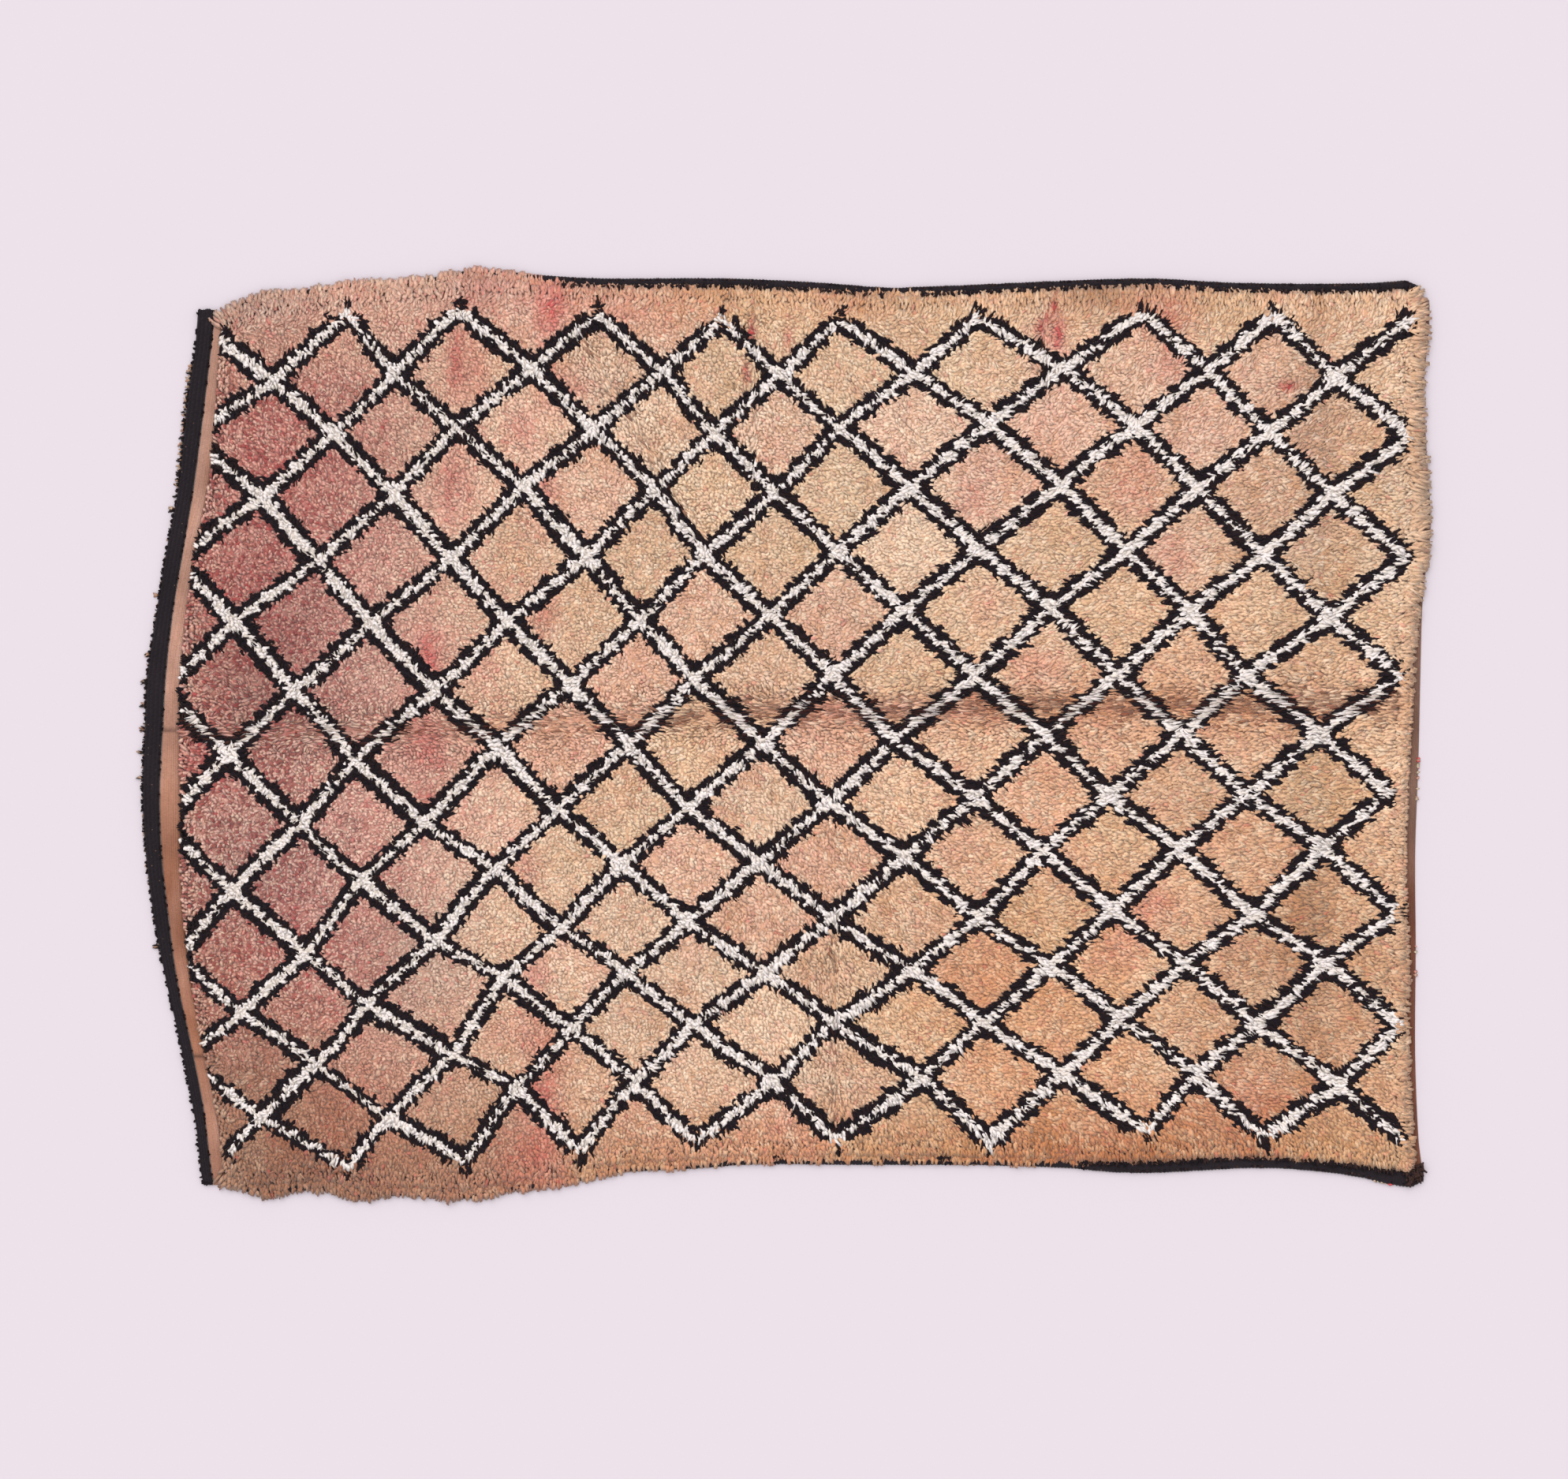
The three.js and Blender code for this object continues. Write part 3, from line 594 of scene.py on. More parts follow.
STEP_X = (GRID_X[-1].mean() - GRID_X[0].mean()) / COLUMNS_OF_CROSSINGS
STEP_Y = (GRID_Y[:, -1].mean() - GRID_Y[:, 0].mean()) / ROWS_OF_CROSSINGS


def lattice_place(x, y, turns=12):
    """Half-column and half-row at a point, as numbers with a fraction."""
    i = (x - GRID_X[0].mean()) / STEP_X
    j = (y - GRID_Y[:, 0].mean()) / STEP_Y
    for _ in range(turns):
        i = i + (x - on_grid(GRID_X, i, j)) / STEP_X
        j = j + (y - on_grid(GRID_Y, i, j)) / STEP_Y
    return i, j


LINE_GAP = 2 / math.hypot(1 / STEP_X, 1 / STEP_Y)  # from one line to the next that runs beside it


def line_distance(x, y):
    """How far a point is from the lattice's nearest line, in metres."""
    i, j = lattice_place(x, y)
    falling, rising = (i - j) / 2, (i + j) / 2
    either = np.stack([abs(falling - np.round(falling)), abs(rising - np.round(rising))]) * LINE_GAP
    away = either.min(0) - CROSSING_SWELL * np.exp(-((either.max(0) / CROSSING_REACH) ** 2))
    # Past the lattice's edge only the points where its lines turn are near.
    out_i, out_j = i - np.clip(i, 0, COLUMNS_OF_CROSSINGS), j - np.clip(j, 0, ROWS_OF_CROSSINGS)
    turn_i = (i - 2 * np.round(i / 2)) * STEP_X
    turn_j = (j - 2 * np.round(j / 2)) * STEP_Y
    past_side = np.hypot(turn_i * SIDE_SPIKE["along"], out_j * STEP_Y * SIDE_SPIKE["away"])
    past_side = past_side + SIDE_SPIKE["blunt"] * smooth_step(abs(out_j) * STEP_Y / (4 * MM))
    away_from_end = out_i * STEP_X * np.where(out_i > 0, END_SPIKE["right"], END_SPIKE["left"])
    past_end = np.hypot(away_from_end, turn_j * END_SPIKE["along"])
    away = np.where(out_j != 0, past_side, away)
    return np.where((out_i != 0) & (out_j == 0), past_end, away)


def yarns_at(x, y):
    """The middle of the group of one yarn that each knot is in, and the group's own number from 0 to 1."""
    x = x + YARN_WAVER * drift(x, y, 13 * MM, 5)
    y = y + YARN_WAVER * drift(x, y, 13 * MM, 6)
    course = np.floor(x / YARN_LONG)
    shift = course * YARN_SHIFT % 1
    group = np.floor(y / YARN_WIDE + shift)
    return (course + 0.5) * YARN_LONG, (group + 0.5 - shift) * YARN_WIDE, own_number(course, group)


def wool_kinds(x, y):
    """0 for the peach ground, 1 for the black outlines and 2 for the white cores."""
    x, y, _ = yarns_at(x, y)
    away = line_distance(x, y)
    white = WHITE_HALF + LINE_WAVER * drift(x, y, 60 * MM, 1)
    line = LINE_HALF + LINE_WAVER * drift(x, y, 45 * MM, 2)
    for spot in THIN:
        share = np.exp(-((x / MM - spot["x"]) ** 2 + (y / MM - spot["y"]) ** 2) / spot["reach"] ** 2)
        white, line = white - share * spot["white"] * MM, line - share * spot["line"] * MM
    return np.where(away < white, 2, np.where(away < line, 1, 0))


# Colours of the wool

def from_middle(patch, x, y):
    """How far points are from a patch's middle, squared, with its edge at 1."""
    dx, dy = (x / MM - patch["x"]) / patch["long"], (y / MM - patch["y"]) / patch["wide"]
    return dx * dx + dy * dy


def spread_over(rows, x, y, edge):
    """The share of each row's patch at each point. Edge is how uneven the patch's edge is."""
    for k, row in enumerate(rows):
        uneven = 1 + edge * drift(x, y, 70 * MM, 20 + k)
        yield row, np.exp(-from_middle(row, x, y) * np.maximum(uneven, 0.2))


def faded_pile(x, y, random):
    """The peach ground's colour at each lock, at its tip and deep between the locks."""
    colour, deep = np.tile(wool("peach"), (len(x), 1)), np.tile(wool("rust"), (len(x), 1))
    for row, share in spread_over(TONES, x, y, 0.35):
        share = np.clip(share * row["share"], 0, 1)[:, None]
        colour, deep = mix(colour, wool(row["tip"]), share), mix(deep, wool(row["deep"]), share)
    golden = 0.3 + 0.7 * smooth_step((x + 0.75) / 0.4)  # the dye ran less and less away from the left end
    pink = 1 - 0.7 * smooth_step((x - 0.1) / 0.8)
    for name, patch in (
        ("tan", (0.22 * drift(x, y * 0.12, 26 * MM, 40) + 0.28 * drift(x, y, 80 * MM, 41)) * golden),
        ("cream", 0.34 * drift(x, y, 95 * MM, 43) + 0.12 * drift(x, y, 30 * MM, 44)),
        ("blush", (0.4 * drift(x, y, 75 * MM, 45) + 0.12 * drift(x, y, 26 * MM, 46)) * pink),
    ):
        colour = tinted(colour, name, np.clip(patch, 0, 0.5))
    # Every diamond was knotted from a lot of its own, and every few knots from one yarn.
    i, j = lattice_place(x, y)
    lot = own_number(np.floor((i - j) / 2), np.floor((i + j) / 2))
    _, _, yarn = yarns_at(x, y)
    for name, share in (
        ("sand", np.clip(1.2 - 4 * lot, 0, 0.45) * golden),
        ("blush", np.clip(4 * lot - 3, 0, 0.35) * pink),
        ("cream", np.clip(3 * yarn - 2.1, 0, 0.6)),
        ("tan", np.clip(0.5 - 3 * yarn, 0, 0.3) * golden),
        ("rose", np.clip(0.25 - 4 * abs(yarn - 0.4), 0, 0.25)),
    ):
        colour = tinted(colour, name, share)
    # At the left end crimson locks stand among faded ones.
    reddened = (1 - smooth_step((x + 1.0) / 0.5)) * smooth_step((y + 0.75) / 0.3)
    reddened = reddened * (1 - 0.65 * smooth_step((y - 0.64) / 0.1))
    lock = random.random(len(x)) * 0.7 + yarn * 0.3
    colour = tinted(colour, "wine", np.clip(3 - 4 * lock, 0, 0.8) * (lock > 0.45) * reddened)
    colour = tinted(colour, "dusk", np.clip(3 - 5 * lock, 0, 0.8) * (lock <= 0.45) * reddened)
    deep = tinted(deep, "wine", 0.55 * reddened)
    colour *= (1 + 0.05 * ((7 * lot) % 1 * 2 - 1) + 0.06 * ((11 * yarn) % 1 * 2 - 1))[:, None]
    for row, share in spread_over(SOILED, x, y, 0.3):
        kept = 1 - np.clip(share, 0, 1)[:, None] * np.array(row["loss"])
        colour, deep = colour * kept, deep * kept
    for row, share in spread_over(STAINS, x, y, 0.5):
        amount = share * row["share"] * random.uniform(0.5, 1.2, len(x))
        amount = np.clip(amount, 0, 1)[:, None]
        colour = mix(colour, wool(row["wool"]), amount * 0.9)
        # A stained lock's deep colour is its stain darkened to three quarters: painted shade.
        deep = mix(deep, wool(row["wool"]) * 0.75, np.minimum(amount * 1.4, 1))
    stray = random.random(len(x)) < np.where((x < -0.5) & (y > -0.55), 0.1, 0.03)
    amount = (stray * random.uniform(0.2, 0.7, len(x)))[:, None]
    # A stray madder lock's deep colour is madder darkened to eight tenths: painted shade.
    return mix(colour, wool("madder"), amount * 0.6), mix(deep, wool("madder") * 0.8, amount)


def dyed(kinds, x, y, random):
    """Each lock's colour at its tip and down between its neighbours."""
    colour, deep = faded_pile(x, y, random)
    black = mix(wool("black"), wool("brown_black"), random.random((len(x), 1)) ** 2)
    white = mix(wool("white"), wool("ivory"), random.random((len(x), 1)) ** 2 * 0.8)
    own = random.normal(1, 1, (len(x), 1)) * np.where(kinds == 2, 0.035, 0.085)[:, None]
    own = (1 + own).clip(0.75, 1.25)
    # Black and white locks are the same wool deep between the locks, darkened to eight tenths: painted
    # shade.
    for kind, shade in ((1, black), (2, white)):
        chosen = (kinds == kind)[:, None]
        colour, deep = np.where(chosen, shade, colour), np.where(chosen, shade * 0.8, deep)
    return colour * own, deep * own


# The way the pile lies

def parted(x, y, spare=0):
    """For each point: the share of the parting nearest to it, its depth and the way the pile leans there.
    Spare is how much further to each side the parting counts."""
    share, depth, lean = np.zeros(len(x)), np.zeros(len(x)), np.zeros(len(x))
    wander = 6 * MM * drift(x, y, 110 * MM, 50)
    for row in PARTINGS:
        ax, ay, bx, by = (row[k] * MM for k in ("x1", "y1", "x2", "y2"))
        t = ((x - ax) * (bx - ax) + (y - ay) * (by - ay)) / ((bx - ax) ** 2 + (by - ay) ** 2)
        t = np.clip(t, 0, 1)
        away = np.hypot(x - mix(ax, bx, t), y - mix(ay, by, t) + wander)
        here = smooth_step(1 - away / (row["half"] * MM + spare))
        nearer = here > share
        share = np.where(nearer, here, share)
        depth = np.where(nearer, row["deep"] * MM, depth)
        lean = np.where(nearer, math.radians(row["lean"]), lean)
    return share, depth, lean


def sharpness(depth):
    """How clearly a parting of that depth shows, up to 1."""
    return np.minimum((depth / (4 * MM)) ** 2, 1)


def brushed(x, y, random):
    """The way each lock leans and how far its tip reaches from its root, as two lengths along X and Y."""
    weight = np.full(len(x), LEAST_SURE)
    way_x, way_y, reach = np.zeros(len(x)), np.zeros(len(x)), np.full(len(x), PLAIN_REACH * LEAST_SURE)
    for row in BRUSHED:
        share = np.exp(-from_middle(row, x, y))
        way_x += share * row["sure"] * math.cos(math.radians(row["lean"]))
        way_y += share * row["sure"] * math.sin(math.radians(row["lean"]))
        reach += share * row["reach"]
        weight += share
    way_x, way_y, reach = way_x / weight, way_y / weight, reach / weight * MM
    swirl = drift(x, y, 36 * MM, 60) * math.pi * 1.3
    calm = smooth_step((x + 0.1) / 0.6)  # the pile is brushed more evenly towards the right end
    loose = 0.32 - 0.08 * calm
    way_x = way_x + loose * np.cos(swirl)
    way_y = way_y + loose * np.sin(swirl)
    # Over the long sides the pile leans out.
    to_back, to_front = cloth_back(x) - y, y - cloth_front(x)
    out = smooth_step(1 - to_back / MARGIN_BRUSHED) - smooth_step(1 - to_front / MARGIN_BRUSHED)
    way_y = mix(way_y, np.sign(out), abs(out) * 0.8)
    way_x = way_x * (1 - 0.8 * abs(out))
    reach = mix(reach, MARGIN_REACH, abs(out))
    share, depth, lean = parted(x, y)
    way_x = mix(way_x, np.cos(lean), share)
    way_y = mix(way_y, np.sin(lean), share)
    reach = mix(reach * (1 + 0.15 * calm), PARTED_REACH, share * sharpness(depth))
    scatter = random.normal(0, LEAN_SCATTER, len(x)) * (1 - 0.3 * calm) * (1 - 0.6 * share)
    way = np.arctan2(way_y, way_x) + scatter
    reach = reach * random.uniform(0.55, 1.25, len(x))
    return np.array([reach * np.cos(way), reach * np.sin(way)])


# One lock of wool, modelled once and set out as every other one

def start_modelling():
    if bpy.context.object and bpy.context.object.mode != "OBJECT":
        bpy.ops.object.mode_set(mode="OBJECT")
    bpy.ops.object.select_all(action="DESELECT")


def pick(test):
    """Selects, in edit mode, the points that pass a test and nothing else."""
    shape = bmesh.from_edit_mesh(bpy.context.object.data)
    for v in shape.verts:
        v.select_set(bool(test(v.co)))
    shape.select_flush(True)
    bmesh.update_edit_mesh(bpy.context.object.data)


def model_lock():
    """A lock that stands on its root, a unit long: three sides from a point to a blunt, slanting tip."""
    start_modelling()
    bpy.ops.mesh.primitive_cylinder_add(vertices=3, radius=0.5, depth=0.5, location=(0, 0, 0.25))
    lock = bpy.context.object
    bpy.ops.object.transform_apply(location=True, rotation=True, scale=True)
    bpy.ops.object.mode_set(mode="EDIT")
    bpy.ops.mesh.select_mode(type="VERT")
    pick(lambda co: co.z < 0.1)
    bpy.ops.mesh.merge(type="CENTER")
    pick(lambda co: co.z > 0.4)
    bpy.ops.mesh.extrude_region_move(TRANSFORM_OT_translate={"value": (0, 0, 0.5)})
    bpy.ops.transform.resize(value=(0.72, 0.6, 1), center_override=(0, 0, 0))
    pick(lambda co: co.z > 0.9 and co.x < 0.1)
    bpy.ops.mesh.merge(type="CENTER")
    bpy.ops.mesh.select_all(action="SELECT")
    bpy.ops.mesh.quads_convert_to_tris()
    bpy.ops.mesh.normals_make_consistent(inside=False)
    bpy.ops.object.mode_set(mode="OBJECT")
    points = np.array([v.co[:] for v in lock.data.vertices])
    points[:, 2] /= points[:, 2].max()
    faces = np.array([p.vertices[:] for p in lock.data.polygons])
    bpy.data.objects.remove(lock)
    return points, faces


LOCK_POINTS, LOCK_FACES = model_lock()


def set_out(root, apex, tip, width, thick, roll):
    """Every lock's points: the modelled lock bent along a curve from its root, by its apex, to its tip."""
    along = LOCK_POINTS[:, 2][None, :, None]
    a, b, c = root[:, None], apex[:, None], tip[:, None]
    centre = a * (1 - along) ** 2 + b * 2 * along * (1 - along) + c * along**2
    ahead = (b - a) * (1 - along) + (c - b) * along
    ahead = ahead / np.linalg.norm(ahead, axis=2, keepdims=True)
    lean = tip - root
    side = np.stack([-lean[:, 1], lean[:, 0], np.zeros(len(lean))], 1)
    side = side / np.maximum(np.linalg.norm(side, axis=1, keepdims=True), 1e-6)
    side = np.broadcast_to(side[:, None], centre.shape)
    up = np.cross(side, -ahead)
    up = up / np.linalg.norm(up, axis=2, keepdims=True)
    cos, sin = np.cos(roll)[:, None, None], np.sin(roll)[:, None, None]
    side, up = side * cos + up * sin, up * cos - side * sin
    across = LOCK_POINTS[:, 0][None, :, None] * width[:, None, None]
    rise = LOCK_POINTS[:, 1][None, :, None] * thick[:, None, None]
    return centre + side * across + up * rise


def new_piece(name, points, faces, material):
    """A smooth mesh, riding on the rug."""
    mesh = bpy.data.meshes.new(name)
    mesh.vertices.add(len(points))
    mesh.vertices.foreach_set("co", points.astype(np.float32).ravel())
    mesh.loops.add(faces.size)
    mesh.loops.foreach_set("vertex_index", faces.astype(np.int32).ravel())
    mesh.polygons.add(len(faces))
    sides = faces.shape[1]
    mesh.polygons.foreach_set("loop_start", np.arange(0, faces.size, sides, dtype=np.int32))
    mesh.polygons.foreach_set("use_smooth", np.ones(len(faces), bool))
    mesh.materials.append(material)
    mesh.update(calc_edges=True)
    piece = bpy.data.objects.new(name, mesh)
    bpy.context.scene.collection.objects.link(piece)
    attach(piece, "root")
    return piece


def paint(piece, colours, patterned=1):
    """The wool's colour at each point, with any painted shade in it, and whether the lattice's lines are
    over it.
    """
    layer = piece.data.attributes.new("dye", "FLOAT_COLOR", "POINT")
    patterned = np.broadcast_to(patterned, len(colours))[:, None]
    rgba = np.concatenate([colours, patterned], 1)
    layer.data.foreach_set("color", rgba.astype(np.float32).ravel())


def add_map(piece, name, at_points):
    """Lays a map over a piece's faces, from the place of each of its points on it."""
    corners = np.empty(len(piece.data.loops), np.int32)
    piece.data.loops.foreach_get("vertex_index", corners)
    layer = piece.data.uv_layers.new(name=name)
    layer.uv.foreach_set("vector", at_points[corners].astype(np.float32).ravel())


def cells_across(count):
    """How many cells a square map of that many locks has to a side."""
    return math.ceil(math.sqrt(count))


def map_locks(piece, count):
    """A map on which each lock has a cell of its own: across its width, and up from its root."""
    cells = cells_across(count)
    place = np.arange(count)
    corner = np.stack([place % cells, place // cells], 1)[:, None]
    inside = np.stack([LOCK_POINTS[:, 0] + 0.5, LOCK_POINTS[:, 2]], 1)[None] * 0.84 + 0.08
    add_map(piece, "OFBake", ((corner + inside) / cells).reshape(-1, 2))


def points_at(x, y, z):
    """Points from their places along X, Y and Z, any of which may be the same for all."""
    return np.stack(np.broadcast_arrays(x, y, z), 1)


def add_locks(name, material, root, apex, tip, width, thick, roll, dye, root_dye_and_shade, side_lit=0.8):
    """One piece of many locks, each darker towards its root and down its sides: deeper dye and painted
    shade.
    """
    count = len(root)
    points = set_out(root, apex, tip, width, thick, roll).reshape(-1, 3)
    points[:, 2] = np.maximum(points[:, 2], 0.1 * MM)  # a low lock lies on the floor
    starts = np.arange(count) * len(LOCK_POINTS)
    faces = (LOCK_FACES[None] + starts[:, None, None]).reshape(-1, 3)
    piece = new_piece(name, points, faces, material)
    along, ridge = LOCK_POINTS[:, 2], LOCK_POINTS[:, 1]
    side_lit = np.broadcast_to(side_lit, count)[:, None]
    # Painted shade, with the deeper dye: each lock takes its root's colour at the root and down its lower
    # sides, its tip's colour up its ridge.
    lit = smooth_step((along + 0.1) / 0.6) * np.where(ridge < -0.05, side_lit, 1)
    shade = mix(root_dye_and_shade[:, None], dye[:, None], lit[:, :, None])
    paint(piece, shade.reshape(-1, 3))
    map_locks(piece, count)
    return piece


# Materials

class Nodes:
    """A material's nodes, added one by one."""

    def __init__(self, name, roughness, sheen, specular=0.25):
        self.material = bpy.data.materials.new(name)
        self.material.use_nodes = True
        self.tree = self.material.node_tree
        self.shader = self.tree.nodes["Principled BSDF"]
        looks = {"Roughness": roughness, "Sheen Weight": sheen, "Specular IOR Level": specular}
        for socket, value in {**looks, "Sheen Roughness": 0.5}.items():
            self.shader.inputs[socket].default_value = value

    def add(self, kind, links=(), **settings):
        """One node. Links gives its sockets either another node's output or a value."""
        node = self.tree.nodes.new(kind)
        for key, value in settings.items():
            setattr(node, key, value)
        for socket, source in dict(links).items():
            if isinstance(source, bpy.types.NodeSocket):
                self.tree.links.new(source, node.inputs[socket])
            else:
                node.inputs[socket].default_value = source
        return node

    def body(self):
        return self.add("ShaderNodeTexCoord").outputs["Object"]

    def dye(self):
        return self.add("ShaderNodeAttribute", attribute_name="dye").outputs

    def stretched(self, place, scale):
        return self.add("ShaderNodeMapping", {"Vector": place, "Scale": scale}).outputs["Vector"]

    def grain(self, place, scale, detail, roughness=0.5):
        """An unevenness from 0 to 1."""
        links = {"Vector": place, "Scale": scale, "Detail": detail, "Roughness": roughness}
        return self.add("ShaderNodeTexNoise", links).outputs["Fac"]

    def ramp(self, source, stops):
        node = self.add("ShaderNodeValToRGB", {"Fac": source})
        bar = node.color_ramp.elements
        while len(bar) < len(stops):
            bar.new(0.5)
        for element, (place, value) in zip(bar, stops):
            element.position = place
            element.color = (*value, 1) if hasattr(value, "__len__") else (value, value, value, 1)
        return node.outputs["Color"]

    def blend(self, share, a, b, way="MIX"):
        colours = {0: share, 6: a, 7: b}
        return self.add("ShaderNodeMix", colours, data_type="RGBA", blend_type=way).outputs[2]

    def multiply(self, a, b):
        return self.blend(1.0, a, b, "MULTIPLY")

    def finish(self, colour, height, strength, distance):
        self.tree.links.new(colour, self.shader.inputs["Base Color"])
        links = {"Height": height, "Strength": strength, "Distance": distance}
        bump = self.add("ShaderNodeBump", links)
        self.tree.links.new(bump.outputs["Normal"], self.shader.inputs["Normal"])
        return self.material


BUMP_DEEP = 1.2 * MM
FLECK_SIZE = 0.14  # of a fleck's own cell


def lock_wool(name, count, deep, light, sheen=0.15):
    """Wool locks: fine fibres that run up each lock and small mottles, over the lock's own dye."""
    nodes = Nodes(name, 0.95, sheen, 0.1)
    place = nodes.add("ShaderNodeUVMap", uv_map="OFBake").outputs["UV"]
    cells = cells_across(count)
    fibres = nodes.grain(nodes.stretched(place, (cells * 7, cells * 1.3, 1)), 1.0, 3.0, 0.7)
    mottles = nodes.grain(nodes.body(), 260.0, 2.0)
    tone = nodes.ramp(fibres, [(0.32, deep), (0.66, light)])
    patch = nodes.ramp(mottles, [(0.35, deep), (0.65, light)])
    colour = nodes.multiply(nodes.dye()["Color"], tone)
    return nodes.finish(nodes.multiply(colour, patch), fibres, 0.5, BUMP_DEEP)


def woven_wool(name, colours, pitch, along, fleck=None, strength=0.6):
    """Flat-woven wool: threads packed along one way, streaked, with a fleck here and there."""
    nodes = Nodes(name, 0.93, 0.1)
    place = nodes.body()
    fine = (0.25, 1, 1) if along == "y" else (1, 0.25, 1)
    threads = nodes.grain(nodes.stretched(place, tuple(v / pitch for v in fine)), 1.0, 4.0, 0.65)
    broad = nodes.grain(place, 9.0, 3.0)
    if colours:
        colour = nodes.ramp(threads, list(zip((0.28, 0.5, 0.74), colours)))
    else:
        colour = nodes.multiply(nodes.dye()["Color"], nodes.ramp(threads, [(0.3, 0.78), (0.7, 1.16)]))
    shade = nodes.ramp(broad, [(0.3, (0.74, 0.68, 0.66)), (0.7, (1.14, 1.12, 1.12))])
    colour = nodes.multiply(colour, shade)
    if fleck:
        spots = nodes.add("ShaderNodeTexVoronoi", {"Vector": place, "Scale": fleck["scale"]})
        near = nodes.ramp(spots.outputs["Distance"], [(FLECK_SIZE, 1.0), (FLECK_SIZE + 0.05, 0.0)])
        chance = nodes.add("ShaderNodeSeparateColor", {"Color": spots.outputs["Color"]}).outputs["Red"]
        some = nodes.ramp(chance, [(fleck["rare"], 0.0), (fleck["rare"] + 0.02, 1.0)])
        dark = wool("grey_brown") * fleck["shade"]
        colour = nodes.blend(nodes.multiply(near, some), colour, (*dark, 1))
    return nodes.finish(colour, threads, strength, BUMP_DEEP)


def shades(name, dark, light):
    """A wool's dark, middle and light shade."""
    colour = wool(name)
    return tuple(colour * dark), tuple(colour), tuple(np.minimum(colour * light, 1))


# Pieces

PEACH_PARTS = 3
BLACK_PARTS = 2
LOCK_TONES = {
    "peach": {"deep": (0.84, 0.82, 0.8), "light": (0.94, 0.95, 0.96), "sheen": 0.2},
    "black": {"deep": 0.8, "light": 1.15, "sheen": 0.02},
    "white": {"deep": 0.97, "light": 1.0, "sheen": 0.1},
}


def pile():
    """The shag: a lock of wool at every knot, in pieces of one wool each."""
    random = np.random.default_rng(5)
    rows, knots = round(CLOTH_LONG / ROW_PITCH), round(CLOTH_WIDE / KNOT_PITCH)
    row, knot = np.meshgrid(np.arange(rows), np.arange(knots), indexing="ij")
    row, knot = row.ravel(), knot.ravel()
    off_s, off_t = random.uniform(-KNOT_WANDER, KNOT_WANDER, (2, len(row)))
    x, y = cloth_point((row + 0.5 + off_s) / rows, (knot + 0.5 + off_t) / knots)
    kinds = wool_kinds(x, y)
    dye, root_dye_and_shade = dyed(kinds, x, y, random)
    share, depth, _ = parted(x, y)
    top = pile_top()(x, y) - share * depth
    reach_x, reach_y = brushed(x, y, random) * np.array(LINE_LOCK_REACH)[kinds]
    part = row * 7 + knot
    count = len(x)
    top = top + random.uniform(-1, 1, count) * (TIP_SCATTER + 1.2 * MM * share)
    size = random.normal(1, LOCK_SPREAD, count).clip(0.6, 1.5)
    width, thick = LOCK_WIDTH * size, LOCK_THICK * size * np.where(kinds == 2, 0.75, 1)
    root = points_at(x - reach_x * 0.5, y - reach_y * 0.5, top - MASS_DEPTH - ROOT_DEPTH)
    rise = random.uniform(*APEX_RISE, count) * MM
    apex = points_at(x - reach_x * 0.3, y - reach_y * 0.3, top + rise)
    drop = random.uniform(*TIP_DROP, count) * MM
    tip = points_at(x + reach_x * 0.5, y + reach_y * 0.5, top - drop)
    roll = random.normal(0, 0.35, count)
    sharp = sharpness(depth)
    width = width * np.array(LINE_LOCK_WIDTH)[kinds] * (1 - 0.45 * share * sharp)
    side_lit = mix(*SIDE_LIT, smooth_step((x + 0.95) / 0.8))
    # Deep between the locks the wool shows darker, here more and there less, from deeper dye and painted
    # shade. A parting gets the most painted shade: its roots and some of its locks are tinted a dark
    # reddish brown.
    soft = np.clip(0.6 + 0.5 * drift(x, y, 60 * MM, 61), 0.2, 0.95) * smooth_step((x + 1.0) / 0.6)
    root_dye_and_shade = mix(root_dye_and_shade, dye, np.where(kinds == 0, soft, 0.7)[:, None])
    strand = random.random(count) < (0.25 * share + 0.5 * share**6) * sharp
    strand = strand * np.array([0.85, 0.2, 0.3])[kinds] * random.uniform(0.5, 1, count)
    dye, root_dye_and_shade = (tinted(colour, "parting_shade", strand) for colour in (dye, root_dye_and_shade))
    parting_shade = np.array([0.7, 0.1, 0.15])[kinds] * share * sharp
    root_dye_and_shade = tinted(root_dye_and_shade, "parting_shade", parting_shade)
    for kind, label, parts in ((0, "peach", PEACH_PARTS), (1, "black", BLACK_PARTS), (2, "white", 1)):
        for k in range(parts):
            mine = (kinds == kind) & (part % parts == k)
            material = lock_wool(f"{label} wool locks {k + 1}", mine.sum(), **LOCK_TONES[label])
            chosen = [v[mine] for v in (root, apex, tip, width, thick, roll, dye, root_dye_and_shade, side_lit)]
            piece = add_locks(f"pile_{label}_{k + 1}", material, *chosen)


